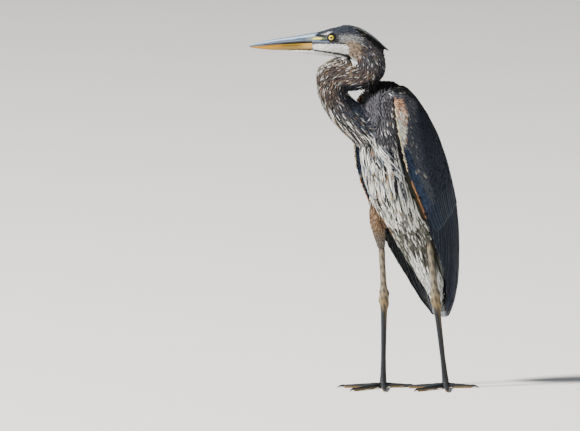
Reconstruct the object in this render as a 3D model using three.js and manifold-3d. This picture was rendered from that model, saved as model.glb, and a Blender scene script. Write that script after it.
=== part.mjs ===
// A great blue heron, life size, standing upright on both feet with its neck folded back and its head turned
// to its right. Millimetres, +Z up. The bird's breast faces -Y and its left side is +X. The origin is on the
// floor, under the middle of the bird's bounding box.
//
// The body is modelled in its own frame, whose origin is the floor point below the pelvis. The neck and head
// are modelled in the gaze frame, which is the body frame turned about Z by GAZE_TURN, so that -Y there is
// the way the bill points.
import * as THREE from "three";
import { mergeVertices } from "three/addons/utils/BufferGeometryUtils.js";
import Module from "manifold-3d";

const wasm = await Module();
wasm.setup();

// ---- driving dimensions -------------------------------------------------------------------------------
const GAZE_TURN = -Math.PI / 4; // the head looks 45 degrees to the right of the breast
const GAZE_LEFT = 78; // the folded neck's plane, to the left of the body's axis seen along the gaze
const BOX_MIDDLE = [-30.6, -92.5]; // middle of the bounding box in the body frame, which becomes the origin
const SEAM = 0.35; // clear gap between two solids that touch on the real bird
const SHORTEST_EDGE = 0.04; // edges shorter than this are closed up
const FLATTEST_TRIANGLE = 0.02; // triangles with less height than this are turned
const SLIVER_ROUNDS = 4;

const HEAD_AHEAD = 134; // centre of the braincase along the gaze
const HEAD_UP = 703; // and its height above the floor
const BILL_REACH = 196; // centre of the braincase to the tip of the bill
const EYE_RADIUS = 7.2;
const HEEL_UP = 186; // height of the ankle joints
const ANKLE_UP = 11; // height of the joint where the toes spread
const LEG_RADIUS = 5.9; // bare part of the leg
const TOE_RADIUS = 4.3;
const SOLE_RADIUS = 9.5; // pad under the ankle
const SOLE_RISE = 6.4; // half its height
const SOLE_SUNK = 1.4; // how much of it is cut away flat at the floor
const SOLE_TOP = 9.4; // its flat top, just under the end of the tarsus
const CLAW_LENGTH = 15;
const TOE_LENGTHS = { inner: 74, middle: 88, outer: 78, hind: 52 }; // from the ankle to the root of the claw

// ---- materials ----------------------------------------------------------------------------------------
const finish = (color, roughness) => new THREE.MeshStandardMaterial({ color, roughness, metalness: 0 });
const slate = finish(0x4a5058, 0.8);
const darkSlate = finish(0x23272f, 0.75);
const brownGrey = finish(0x6b625c, 0.85);
const paleBelly = finish(0xb9b4a6, 0.85);
const rufous = finish(0xa5764c, 0.85);
const black = finish(0x15161a, 0.7);
const billSlate = finish(0x39424f, 0.4);
const billOrange = finish(0xd8921f, 0.4);
const eyeYellow = finish(0xe8cf1c, 0.1);
const legBrown = finish(0x6d6250, 0.6);
const toeSlate = finish(0x3c3f42, 0.6);
const clawBlack = finish(0x1b1a19, 0.4);

// ---- solids -------------------------------------------------------------------------------------------
const vec = (x, y, z) => new THREE.Vector3(x, y, z);
const X_AXIS = vec(1, 0, 0);
const Z_AXIS = vec(0, 0, 1);

// A closed geometry as a manifold solid.
function toSolid(geometry) {
  const bare = geometry.clone();
  bare.deleteAttribute("normal");
  bare.deleteAttribute("uv");
  const merged = mergeVertices(bare, 1e-4);
  const mesh = new wasm.Mesh({
    numProp: 3,
    vertProperties: merged.attributes.position.array,
    triVerts: new Uint32Array(merged.index.array),
  });
  return new wasm.Manifold(mesh);
}

// A manifold solid as a geometry, without the slivers that a cut can leave.
function toGeometry(solid) {
  const { numProp, numVert, vertProperties, triVerts } = solid.getMesh();
  const spot = (i) => vec(...vertProperties.subarray(i * numProp, i * numProp + 3));
  const spots = Array.from({ length: numVert }, (_, i) => spot(i));
  const triangles = withoutSlivers(spots, triVerts);
  const used = [...new Set(triangles.flat())];
  const place = new Map(used.map((vertex, i) => [vertex, i]));
  const geometry = new THREE.BufferGeometry().setFromPoints(used.map((vertex) => spots[vertex]));
  geometry.setIndex(triangles.flat().map((vertex) => place.get(vertex)));
  geometry.computeVertexNormals();
  return geometry;
}

// The triangles of a closed mesh, with its shortest edges closed up and its flattest triangles turned, so
// that they share out the area of the triangle across their longest edge.
function withoutSlivers(spots, corners) {
  let triangles = [];
  for (let i = 0; i < corners.length; i += 3) triangles.push([...corners.subarray(i, i + 3)]);
  const long = (a, b) => spots[a].distanceTo(spots[b]);
  const height = ([a, b, c]) => {
    const [ab, ac] = [spots[b].clone().sub(spots[a]), spots[c].clone().sub(spots[a])];
    return ab.cross(ac).length() / Math.max(long(a, b), long(b, c), long(c, a));
  };
  const around = (vertex) => new Set(triangles.filter((t) => t.includes(vertex)).flat());
  const sides = ([a, b, c]) => [[a, b, c], [b, c, a], [c, a, b]];
  const across = (a, b) => triangles.find((t) => sides(t).some(([p, q]) => p === b && q === a));
  for (let round = 0; round < SLIVER_ROUNDS; round++) {
    for (const [a, b] of triangles.flatMap(sides)) {
      if (a > b || long(a, b) > SHORTEST_EDGE) continue;
      const shared = [...around(a)].filter((vertex) => around(b).has(vertex));
      if (shared.length !== 4) continue;
      triangles = triangles.map((t) => t.map((vertex) => (vertex === b ? a : vertex)));
      triangles = triangles.filter((t) => new Set(t).size === 3);
    }
    for (const flat of triangles.filter((t) => height(t) < FLATTEST_TRIANGLE)) {
      const [a, b, c] = sides(flat).sort((p, q) => long(q[0], q[1]) - long(p[0], p[1]))[0];
      const other = across(a, b);
      if (!triangles.includes(flat) || !other) continue;
      const d = other.find((vertex) => vertex !== a && vertex !== b);
      const turned = [[a, d, c], [d, b, c]];
      const better = Math.min(...turned.map(height)) > Math.min(height(flat), height(other));
      if (!better || around(c).has(d)) continue;
      triangles = triangles.filter((t) => t !== flat && t !== other).concat(turned);
    }
  }
  return triangles;
}

// A sphere's grid of vertices re-placed: place(along, around) gives the point for a share of the way from
// pole to pole and a share of the way round. The rings next to the poles are the two ends of the solid.
function wrapped(sides, rings, place) {
  const geometry = new THREE.SphereGeometry(1, sides, rings);
  const spots = geometry.attributes.position;
  for (let i = 0; i < spots.count; i++) {
    const ring = Math.round((Math.acos(THREE.MathUtils.clamp(spots.getY(i), -1, 1)) / Math.PI) * rings);
    const turn = Math.atan2(spots.getZ(i), -spots.getX(i)) / (2 * Math.PI);
    const pole = ring === 0 || ring === rings;
    const along = THREE.MathUtils.clamp((ring - 1) / (rings - 2), 0, 1);
    const point = place(along, (turn + 1) % 1, pole);
    spots.setXYZ(i, point.x, point.y, point.z);
  }
  const solid = toSolid(geometry);
  if (solid.volume() > 0) return solid;
  const index = geometry.index.array;
  for (let i = 0; i < index.length; i += 3) [index[i + 1], index[i + 2]] = [index[i + 2], index[i + 1]];
  return toSolid(geometry);
}

// Smooth values between stations: rows of numbers, read at a share of the way along.
function blended(rows) {
  const width = rows[0].length;
  return (share) => {
    const place = share * (rows.length - 1);
    const i = Math.min(Math.floor(place), rows.length - 2);
    const t = place - i;
    const row = (k) => rows[THREE.MathUtils.clamp(k, 0, rows.length - 1)];
    const value = (k) => {
      const [a, b, c, d] = [row(i - 1)[k], row(i)[k], row(i + 1)[k], row(i + 2)[k]];
      const cubic = a * (-t + 2 * t * t - t ** 3) + b * (2 - 5 * t * t + 3 * t ** 3);
      return (cubic + c * (t + 4 * t * t - 3 * t ** 3) + d * (t ** 3 - t * t)) / 2;
    };
    return Array.from({ length: width }, (_, k) => value(k));
  };
}

const rounded = (value, power) => Math.sign(value) * Math.abs(value) ** (2 / power);

// A body of level cross-sections. Each station is [height, middle y, half width, reach forward, reach back].
function levelBody(stations, { sides, rings, power = 2.2, grow = 0 }) {
  const at = blended(stations);
  return wrapped(sides, rings, (along, around, pole) => {
    const [z, y, wide, front, back] = at(along);
    if (pole) return vec(0, y, z);
    const angle = around * 2 * Math.PI;
    const deep = Math.sin(angle) < 0 ? front : back;
    return vec(
      (wide + grow) * rounded(Math.cos(angle), power),
      y + (deep + grow) * rounded(Math.sin(angle), power),
      z,
    );
  });
}

// A limb along a smooth line. Each station is [x, y, z, half size along `across`, half size at right angles].
function limb(stations, { across = X_AXIS, sides = 10, rings = 10, power = 2, grow = 0 }) {
  const at = blended(stations);
  const point = (share) => vec(...at(share).slice(0, 3));
  return wrapped(sides, rings, (along, around, pole) => {
    const centre = point(along);
    if (pole) return centre;
    const step = 1e-3;
    const way = point(Math.min(along + step, 1)).sub(point(Math.max(along - step, 0))).normalize();
    const deep = vec(0, 0, 0).crossVectors(way, across).normalize();
    const wide = vec(0, 0, 0).crossVectors(deep, way).normalize();
    const [, , , a, b] = at(along);
    const angle = around * 2 * Math.PI;
    return centre
      .addScaledVector(wide, (a + grow) * rounded(Math.cos(angle), power))
      .addScaledVector(deep, (b + grow) * rounded(Math.sin(angle), power));
  });
}

// A plain box, for cutting.
function slab(size, centre, turn = [0, 0, 0]) {
  const box = new THREE.BoxGeometry(...size);
  box.applyMatrix4(new THREE.Matrix4().makeRotationFromEuler(new THREE.Euler(...turn)));
  box.translate(...centre);
  return toSolid(box);
}

const cutBy = (solid, ...others) => others.reduce((left, other) => left.subtract(other), solid);
const largest = (solid) =>
  solid.decompose().reduce((best, part) => (part.volume() > best.volume() ? part : best));

// From the gaze frame to the body frame: ahead along the bill, to the left of it, and up.
function gaze(ahead, left, up) {
  return vec(left, -ahead, up).applyAxisAngle(Z_AXIS, GAZE_TURN);
}
const GAZE_ACROSS = gaze(0, 1, 0);

// ---- trunk --------------------------------------------------------------------------------------------
// From the under-tail coverts' tips to the top of the mantle: height, middle y, half width, forward, back.
const TRUNK = [
  [160, 76, 9, 6, 5],
  [200, 66, 24, 18, 13],
  [250, 48, 40, 38, 30],
  [300, 30, 50, 60, 46],
  [350, 12, 56, 84, 62],
  [400, -3, 59, 103, 68],
  [450, -18, 59, 106, 72],
  [500, -38, 59, 92, 72],
  [545, -56, 58, 72, 68],
  [580, -66, 52, 54, 48],
  [604, -71, 40, 39, 30],
  [620, -73, 16, 16, 12],
];
const trunkBody = (grow) => levelBody(TRUNK, { sides: 20, rings: 16, grow });

// ---- neck and head, in the gaze frame -----------------------------------------------------------------
// Each neck length: ahead, left, up, half width, half thickness in the plane of the fold.
const NECK = {
  upper: [
    [101, 0, 690, 19, 22],
    [87, 0, 668, 21, 30],
    [85, 0, 650, 22, 32],
    [94, 0, 634, 22, 30],
    [110, 0, 627, 20, 24],
  ],
  middle: [
    [88, 0, 634, 20, 23],
    [100, 0, 634, 24, 31],
    [124, 0, 636, 25, 33],
    [148, 0, 636, 25, 33.5],
    [166, 0, 636, 24, 31],
    [180, 0, 637, 20, 23],
    [190, 0, 639, 10, 12],
  ],
  lower: [
    [150, 0, 654, 17, 15],
    [162, 0, 640, 23, 26],
    [164, 0, 620, 24, 28],
    [160, 0, 598, 26, 28],
    [147, -3, 574, 28, 30],
    [122, -8, 550, 31, 33],
    [94, -13, 528, 36, 37],
    [68, -18, 509, 37, 38],
    [46, -20, 494, 26, 25],
  ],
};

function neckLength(name, grow) {
  const stations = NECK[name].map(([ahead, left, up, wide, thick]) => {
    const at = gaze(ahead, GAZE_LEFT + left, up);
    return [at.x, at.y, at.z, wide, thick];
  });
  return limb(stations, { across: GAZE_ACROSS, sides: 12, rings: 11, power: 2.1, grow });
}

// A solid of upright sections across the gaze, from behind to the front.
// Each station is [ahead of the braincase, top, bottom, half width], heights from the braincase's centre.
function faceSolid(stations, { sides, rings, power = 2, grow = 0 }) {
  const at = blended(stations);
  return wrapped(sides, rings, (along, around, pole) => {
    const [ahead, top, bottom, wide] = at(along);
    const middle = (top + bottom) / 2;
    const angle = around * 2 * Math.PI;
    const side = pole ? 0 : (wide + grow) * rounded(Math.cos(angle), power);
    const rise = pole ? 0 : ((top - bottom) / 2 + grow) * rounded(Math.sin(angle), power);
    return gaze(HEAD_AHEAD + ahead, GAZE_LEFT + side, HEAD_UP + middle + rise);
  });
}

const HEAD = [
  [-76, -14, -34, 6],
  [-70, -5, -44, 13],
  [-56, 8, -48, 18],
  [-38, 19, -46, 20.5],
  [-18, 28, -40, 21.5],
  [2, 30.5, -34, 21],
  [22, 27.5, -31, 19],
  [42, 21.5, -29, 16],
  [58, 17, -28, 12.5],
  [66, 15.5, -26.5, 10],
];
const headBody = (grow) => faceSolid(HEAD, { sides: 16, rings: 12, power: 2.1, grow });

// The two halves of the bill. The rows under 66 lie inside the face and are cut away there.
const UPPER_BILL = [
  [54, 18, -1.8, 9],
  [72, 15, -2.4, 8.4],
  [100, 10, -3.8, 6.8],
  [132, 5.2, -5.6, 5],
  [160, 0, -8.4, 3.4],
  [182, -5, -10.2, 1.9],
  [BILL_REACH, -9.8, -11, 0.6],
];
const LOWER_BILL = [
  [54, -2.2, -17, 8.6],
  [72, -2.8, -17.4, 8],
  [100, -4.2, -17.8, 6.2],
  [126, -5.8, -18.2, 4.8],
  [150, -8, -17.4, 3.4],
  [172, -10.4, -15.4, 1.9],
  [190, -11.2, -12.6, 0.7],
];

// The feathered chin, a wedge under the base of the bill.
const CHIN = [
  [54, -14, -28, 9.5],
  [72, -15, -26, 8],
  [88, -16, -23.8, 6.4],
  [104, -17, -21.2, 4.4],
  [118, -17.8, -18.8, 1.6],
];

// Three short plumes at the back of the crown, lying as one pointed blade.
const CREST = [
  [6, 32.4, 29.4, 5],
  [-18, 30.4, 27, 8],
  [-40, 20.5, 17, 8],
  [-60, 6.5, 3.4, 6],
  [-76, -9, -11.6, 3.2],
  [-86, -19.6, -21, 0.7],
];

const EYE_AHEAD = 28;
const EYE_RISE = 8.2;
const EYE_ASIDE = 14.2; // centre of the eyeball from the plane of the head

function eyeBall(side, grow = 0) {
  const ball = new THREE.SphereGeometry(EYE_RADIUS + grow, 12, 8);
  ball.rotateX(Math.PI / 2);
  ball.rotateZ(GAZE_TURN);
  const at = gaze(HEAD_AHEAD + EYE_AHEAD, GAZE_LEFT + side * EYE_ASIDE, HEAD_UP + EYE_RISE);
  ball.translate(at.x, at.y, at.z);
  return toSolid(ball);
}

// ---- wings --------------------------------------------------------------------------------------------
// The folded wing wraps the side and back. Each station: height, x and y of the leading edge, the widest x,
// the greatest x + y of its rear quarter, y of the back, x where it ends on the back, and its thickness.
const WING = [
  [614, 20, -86, 28, -30, -62, 14, 3],
  [606, 38, -97, 47, -10, -44, 18, 9],
  [583, 53, -107, 64, 18, -14, 22, 13],
  [545, 61, -109, 72, 51, 16, 22, 16],
  [496, 67, -101, 76, 79, 40, 14, 16],
  [445, 73, -90, 78, 103, 62, 6, 16],
  [395, 75, -62, 77, 121, 77, 2.5, 15],
  [345, 74, -35, 76, 131, 88, 2, 14],
  [300, 71, -10, 73, 134, 96, 2, 12],
  [255, 64, 18, 67, 134, 101, 2, 10],
  [215, 54, 43, 57, 131, 104, 2, 8],
  [176, 39, 60, 42, 121, 102, 2.5, 5],
  [150, 24, 75, 27, 109, 97, 4, 3],
  [140, 18, 80, 20, 102, 92, 7, 1.6],
];
const SIDE_AT = 0.4; // where between the leading edge and the rear quarter the wing is widest
const QUARTER_IN = 0.75; // x of the rear quarter as a share of the widest x

// The outer line of a wing's level section, from the leading edge to the middle of the back.
function wingLine([height, leadX, leadY, wide, diagonal, back, inner], grow) {
  const quarter = QUARTER_IN * wide;
  return new THREE.CatmullRomCurve3([
    vec(leadX, leadY - grow, height),
    vec(wide, leadY + SIDE_AT * (diagonal - quarter - leadY), height),
    vec(quarter, diagonal - quarter, height),
    vec(inner - grow, back, height),
  ]);
}

function wingBody(side, grow = 0) {
  const at = blended(WING);
  const lines = new Map();
  return wrapped(16, 16, (along, around, pole) => {
    const row = at(along);
    if (!lines.has(along)) lines.set(along, wingLine(row, grow));
    const line = lines.get(along);
    const outside = around < 0.5;
    const share = pole ? 0.5 : outside ? around * 2 : 2 - around * 2;
    const point = line.getPoint(share);
    const way = line.getTangent(share);
    const inward = vec(-way.y, way.x, 0).normalize();
    const full = row[7] * Math.min(1, (6 * share * (1 - share)) ** 0.5);
    const depth = pole ? full / 2 : outside ? -grow : full + grow;
    point.addScaledVector(inward, depth);
    return vec(point.x * side, point.y, point.z);
  });
}

// The quills show below a slanting line that runs from the leading edge up to the back.
const QUILL_LINE_UP = 352; // its height above the pelvis
const QUILL_LINE_TILT = 0.62; // radians
function aboveQuillLine(lift) {
  const size = 600;
  const centre = vec(0, 0, size / 2 + lift).applyAxisAngle(X_AXIS, QUILL_LINE_TILT);
  return slab([size, size, size], [0, centre.y, QUILL_LINE_UP + centre.z], [QUILL_LINE_TILT, 0, 0]);
}

// ---- tail ---------------------------------------------------------------------------------------------
// Twelve closed tail feathers, as one flat fan behind the under-tail coverts.
const TAIL = [
  [0, 74, 290, 20, 5],
  [0, 82, 250, 26, 5],
  [0, 87, 200, 27, 4.5],
  [0, 87, 165, 27, 3.5],
  [0, 85, 143, 22, 2.4],
  [0, 84, 137, 14, 1.2],
];

// ---- legs ---------------------------------------------------------------------------------------------
// Each leg: its feathered thigh (x, y, z, half width, half depth), where the feathers end, the heel, the
// joint where the toes spread, and the toes' headings in degrees to the left of straight ahead.
const LEGS = {
  left: {
    thigh: [
      [32, -34, 384, 10, 12],
      [37, -25, 358, 12, 15],
      [42.5, -13, 334, 11.5, 14],
      [45.5, -3, 313, 9.2, 10.6],
    ],
    garter: [46, 3, 298],
    heel: [46, 21, HEEL_UP],
    ankle: [50, 46, ANKLE_UP],
    toes: { inner: -42, middle: 6, outer: 46, hind: 138 },
  },
  right: {
    thigh: [
      [-36, -58, 402, 12, 14],
      [-40, -56, 370, 16, 20],
      [-43.5, -52, 336, 15, 18.5],
      [-45.5, -45.5, 306, 10.5, 12],
    ],
    garter: [-46, -40, 282],
    heel: [-45, -33.5, HEEL_UP],
    ankle: [-42, -39, ANKLE_UP],
    toes: { inner: 46, middle: 4, outer: -44, hind: 148 },
  },
};

const mixPoints = (a, b, share) => a.map((value, i) => value + (b[i] - value) * share);

function thighBody({ thigh, garter }, grow = 0) {
  return limb([...thigh, [...garter, 7.3, 7.6]], { sides: 12, rings: 9, grow });
}

// The bare leg between two joints, with a knob at each joint.
function shankBody({ garter, heel }, grow = 0) {
  const above = mixPoints(heel, garter, 0.17);
  const top = mixPoints(garter, heel, -0.3);
  return limb(
    [
      [...top, LEG_RADIUS, LEG_RADIUS],
      [...garter, LEG_RADIUS + 0.6, LEG_RADIUS + 0.6],
      [...mixPoints(garter, heel, 0.5), LEG_RADIUS, LEG_RADIUS],
      [...above, LEG_RADIUS + 0.4, LEG_RADIUS + 0.9],
      [...mixPoints(heel, garter, 0.05), 7.6, 9],
      [...mixPoints(heel, garter, -0.05), 7, 8],
    ],
    { sides: 8, rings: 10, grow },
  );
}

function tarsusBody({ heel, ankle }) {
  return limb(
    [
      [...mixPoints(heel, ankle, -0.03), 6.8, 7.8],
      [...mixPoints(heel, ankle, 0.05), 7.6, 8.8],
      [...mixPoints(heel, ankle, 0.15), LEG_RADIUS + 0.6, LEG_RADIUS + 1],
      [...mixPoints(heel, ankle, 0.4), LEG_RADIUS - 0.6, LEG_RADIUS],
      [...mixPoints(heel, ankle, 0.8), LEG_RADIUS - 1.2, LEG_RADIUS - 0.6],
      [...mixPoints(heel, ankle, 0.96), LEG_RADIUS + 1, LEG_RADIUS + 1],
      [...ankle, LEG_RADIUS + 0.4, LEG_RADIUS + 0.6],
    ],
    { sides: 8, rings: 10 },
  );
}

const BELOW_FLOOR = 40;
const floorCut = slab([900, 900, BELOW_FLOOR], [0, 0, -BELOW_FLOOR / 2]);

// The pad under the joint where the toes meet. Its underside is a small flat on the floor.
function soleBody({ ankle }, grow = 0) {
  const pad = new THREE.SphereGeometry(1, 8, 6);
  pad.rotateX(Math.PI / 2);
  pad.scale(SOLE_RADIUS + grow, SOLE_RADIUS + grow, SOLE_RISE + grow);
  pad.translate(ankle[0], ankle[1], SOLE_RISE - SOLE_SUNK);
  return toSolid(pad).subtract(floorCut);
}

// A toe's heading: degrees to the left of straight ahead.
function heading(degrees) {
  const angle = THREE.MathUtils.degToRad(degrees);
  return vec(Math.sin(angle), -Math.cos(angle), 0);
}

function toeBody({ ankle }, degrees, length, grow = 0) {
  const way = heading(degrees);
  const across = heading(degrees + 90);
  const station = (share, height, radius) => {
    const at = vec(ankle[0], ankle[1], 0).addScaledVector(way, 5 + share * (length - 5));
    return [at.x, at.y, height, radius, radius];
  };
  const r = TOE_RADIUS;
  return limb(
    [
      station(0, r + 1.6, r + 0.5),
      station(0.18, r + 2.2, r + 0.2),
      station(0.38, r + 0.2, r + 0.5),
      station(0.55, r + 0.9, r - 0.3),
      station(0.72, r - 0.6, r),
      station(0.88, r - 0.6, r - 0.6),
      station(1, r - 1.1, r - 0.9),
    ],
    { across, sides: 7, rings: 9, grow },
  ).subtract(floorCut);
}

function clawBody({ ankle }, degrees, length) {
  const way = heading(degrees);
  const across = heading(degrees + 90);
  const station = (share, height, radius) => {
    const at = vec(ankle[0], ankle[1], 0).addScaledVector(way, length - 3 + share * (CLAW_LENGTH + 3));
    return [at.x, at.y, height, radius * 0.8, radius];
  };
  return limb(
    [
      station(0, 3.4, 2.4),
      station(0.3, 4.6, 2.4),
      station(0.62, 4.1, 1.8),
      station(0.86, 2.3, 1.2),
      station(1, 0.5, 0.7),
    ],
    { across, sides: 6, rings: 7 },
  ).subtract(floorCut);
}

// ---- assembly -----------------------------------------------------------------------------------------
const heron = new THREE.Group();
const bird = new THREE.Group();
bird.position.set(-BOX_MIDDLE[0], -BOX_MIDDLE[1], 0);
heron.add(bird);

function add(name, solid, material) {
  const mesh = new THREE.Mesh(toGeometry(largest(solid)), material);
  mesh.name = name;
  bird.add(mesh);
}

const trunk = trunkBody(0);
const trunkRoom = trunkBody(SEAM);
add("trunk", trunk, paleBelly);

const headRoom = headBody(SEAM);
const upperRoom = neckLength("upper", SEAM);
const middleRoom = neckLength("middle", SEAM);
const lowerRoom = neckLength("lower", SEAM);
const eyeRooms = [eyeBall(1, SEAM), eyeBall(-1, SEAM)];
add("neck_lower", cutBy(neckLength("lower", 0), trunkRoom), brownGrey);
add("neck_middle", cutBy(neckLength("middle", 0), trunkRoom, lowerRoom), brownGrey);
add("neck_upper", cutBy(neckLength("upper", 0), trunkRoom, middleRoom, lowerRoom), brownGrey);
add("head", cutBy(headBody(0), upperRoom, middleRoom, lowerRoom, ...eyeRooms), slate);
add("eye_left", eyeBall(1), eyeYellow);
add("eye_right", eyeBall(-1), eyeYellow);

const billShape = { sides: 10, rings: 9, power: 2 };
const mouthGap = 0.5;
const upperBill = faceSolid(UPPER_BILL, billShape);
add("bill_upper", cutBy(upperBill, headRoom), billSlate);
const upperBillRoom = faceSolid(UPPER_BILL, { ...billShape, grow: mouthGap });
add("bill_lower", cutBy(faceSolid(LOWER_BILL, billShape), headRoom, upperBillRoom), billOrange);
const billRooms = [upperBillRoom, faceSolid(LOWER_BILL, { ...billShape, grow: SEAM })];
add("chin", cutBy(faceSolid(CHIN, { sides: 8, rings: 6 }), headRoom, ...billRooms), paleBelly);
add("crest", cutBy(faceSolid(CREST, { sides: 8, rings: 9 }), headRoom, upperRoom), black);

const wingRooms = {};
for (const [name, side] of [["left", 1], ["right", -1]]) {
  const leg = LEGS[name];
  const wing = cutBy(wingBody(side), trunkRoom, lowerRoom, middleRoom, shankBody(leg, SEAM));
  wingRooms[name] = wingBody(side, SEAM);
  add(`wing_${name}_coverts`, wing.intersect(aboveQuillLine(SEAM / 2)), slate);
  add(`wing_${name}_quills`, cutBy(wing, aboveQuillLine(-SEAM / 2)), darkSlate);
  add(`thigh_${name}`, cutBy(thighBody(leg), trunkRoom, wingRooms[name]), rufous);
}

const tail = limb(TAIL, { sides: 8, rings: 8, power: 3 });
add("tail", cutBy(tail, trunkRoom, wingRooms.left, wingRooms.right), darkSlate);

// The lower end of the tarsus as a plain peg, which the toes and the sole make room for.
function tarsusPeg({ heel, ankle }) {
  const end = mixPoints(heel, ankle, 1.01);
  const swell = mixPoints(heel, ankle, 0.9);
  return limb(
    [
      [...heel, LEG_RADIUS, LEG_RADIUS],
      [...swell, LEG_RADIUS, LEG_RADIUS],
      [...end, LEG_RADIUS + 1.4, LEG_RADIUS + 1.4],
    ],
    { sides: 10, rings: 6, grow: SEAM },
  );
}

const JOINT_BLOCK = 60; // a block that trims a leg bone at the heel
for (const [name, leg] of Object.entries(LEGS)) {
  const [heelX, heelY] = leg.heel;
  const blockSize = [JOINT_BLOCK, JOINT_BLOCK, JOINT_BLOCK];
  const belowHeel = slab(blockSize, [heelX, heelY, HEEL_UP + SEAM - JOINT_BLOCK / 2]);
  const aboveHeel = slab(blockSize, [heelX, heelY, HEEL_UP + JOINT_BLOCK / 2]);
  const thighRoom = thighBody(leg, SEAM);
  add(`shank_${name}`, cutBy(shankBody(leg), thighRoom, trunkRoom, belowHeel), legBrown);
  add(`tarsus_${name}`, cutBy(tarsusBody(leg), aboveHeel), legBrown);
  const pegRoom = tarsusPeg(leg);
  const soleRoom = soleBody(leg, SEAM);
  const aboveSole = slab(blockSize, [leg.ankle[0], leg.ankle[1], SOLE_TOP + JOINT_BLOCK / 2]);
  add(`sole_${name}`, cutBy(soleBody(leg), aboveSole), toeSlate);
  const middleToeRoom = toeBody(leg, leg.toes.middle, TOE_LENGTHS.middle, SEAM);
  for (const [toe, degrees] of Object.entries(leg.toes)) {
    const length = TOE_LENGTHS[toe];
    const rooms = [soleRoom, pegRoom, ...(toe === "middle" ? [] : [middleToeRoom])];
    add(`toe_${name}_${toe}`, cutBy(toeBody(leg, degrees, length), ...rooms), toeSlate);
    const toeRoom = toeBody(leg, degrees, length + SEAM, SEAM);
    add(`claw_${name}_${toe}`, cutBy(clawBody(leg, degrees, length), toeRoom), clawBlack);
  }
}

export default heron;
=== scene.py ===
"""A great blue heron as a museum model: its skin, coat of feathers, bill, eyes, legs and claws, made around
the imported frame. The script works in millimetres in the bird's body frame, whose origin is the floor point
below the pelvis, with the breast facing -Y and the bird's left side +X. put() turns that into the frame's
metres. The head and neck are laid out in the gaze frame, turned 45 degrees to the bird's right."""
import math

import bpy
import numpy as np
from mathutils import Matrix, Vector
from mathutils.bvhtree import BVHTree
from mathutils.kdtree import KDTree


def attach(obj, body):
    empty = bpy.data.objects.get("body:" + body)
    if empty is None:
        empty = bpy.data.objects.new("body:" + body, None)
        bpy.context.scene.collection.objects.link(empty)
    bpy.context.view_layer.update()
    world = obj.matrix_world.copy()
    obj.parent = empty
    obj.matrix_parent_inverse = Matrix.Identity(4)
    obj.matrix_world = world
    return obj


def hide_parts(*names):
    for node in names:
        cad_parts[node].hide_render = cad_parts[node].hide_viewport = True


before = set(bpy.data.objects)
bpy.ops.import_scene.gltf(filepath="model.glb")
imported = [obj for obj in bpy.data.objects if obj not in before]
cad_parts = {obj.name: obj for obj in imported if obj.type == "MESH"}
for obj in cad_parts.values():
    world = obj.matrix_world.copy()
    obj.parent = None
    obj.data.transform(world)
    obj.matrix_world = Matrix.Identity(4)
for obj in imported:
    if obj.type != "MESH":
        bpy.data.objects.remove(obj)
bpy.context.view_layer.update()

# ---- frames and small helpers ----
MM = 0.001
BODY_AT = np.array([30.6, 92.5, 0.0])  # the body frame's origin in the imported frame, in millimetres
DIAGONAL = math.sqrt(0.5)
GAZE_LEFT = 78.0  # the folded neck's plane, to the left of the body's axis
HEAD_AHEAD = 134.0  # centre of the braincase along the gaze
HEAD_UP = 703.0
GAZE_WAY = np.array([-DIAGONAL, -DIAGONAL, 0.0])
GAZE_SIDE = np.array([DIAGONAL, -DIAGONAL, 0.0])
UP = np.array([0.0, 0.0, 1.0])


def from_gaze(rows):
    """Body-frame points for rows of (ahead along the gaze, left of the neck's plane, up)."""
    ahead, left, up = np.asarray(rows, float).T
    left = left + GAZE_LEFT
    return np.stack([DIAGONAL * (left - ahead), -DIAGONAL * (left + ahead), up], 1)


def from_head(rows):
    """Body-frame points for rows of (ahead of the braincase, to its left, above it)."""
    return from_gaze(np.asarray(rows, float) + [HEAD_AHEAD, 0, HEAD_UP])


def to_head(points):
    x, y, z = points.T
    return -DIAGONAL * (x + y) - HEAD_AHEAD, DIAGONAL * (x - y) - GAZE_LEFT, z - HEAD_UP


def put(points):
    return (points + BODY_AT) * MM


def step(value, low, high):
    """0 below low, 1 above high, and smooth in between. low may be the higher of the two."""
    t = np.clip((value - low) / (high - low), 0, 1)
    return t * t * (3 - 2 * t)


def bell(value, middle, width):
    """1 at the middle, and falling away smoothly on both sides."""
    return np.exp(-(((value - middle) / width) ** 2))


def unit(vectors):
    return vectors / np.maximum(np.linalg.norm(vectors, axis=-1, keepdims=True), 1e-9)


def flat_to(vectors, normals):
    """Vectors with their part along the normals taken out, at unit length."""
    return unit(vectors - (vectors * normals).sum(-1, keepdims=True) * normals)


def read_off(table, at, column=1):
    """A table's column read at values of its first column, straight between the rows."""
    rows = np.asarray(table, float)
    return np.interp(at, rows[:, 0], rows[:, column])


def blended(rows, shares):
    """Rows of numbers read smoothly at shares of the way from the first to the last."""
    rows = np.asarray(rows, float)
    place = np.clip(shares, 0, 1) * (len(rows) - 1)
    i = np.minimum(place.astype(int), len(rows) - 2)
    t = (place - i)[:, None]
    a, b, c, d = (rows[np.clip(i + k, 0, len(rows) - 1)] for k in (-1, 0, 1, 2))
    cubic = a * (-t + 2 * t * t - t**3) + b * (2 - 5 * t * t + 3 * t**3)
    return (cubic + c * (t + 4 * t * t - 3 * t**3) + d * (t**3 - t * t)) / 2


def circle(count):
    return np.linspace(0, 2 * math.pi, count, endpoint=False)


def fanned(count):
    """Even places from -1 to 1, one for each feather of a fan."""
    return 2 * np.arange(count) / (count - 1) - 1


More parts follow.
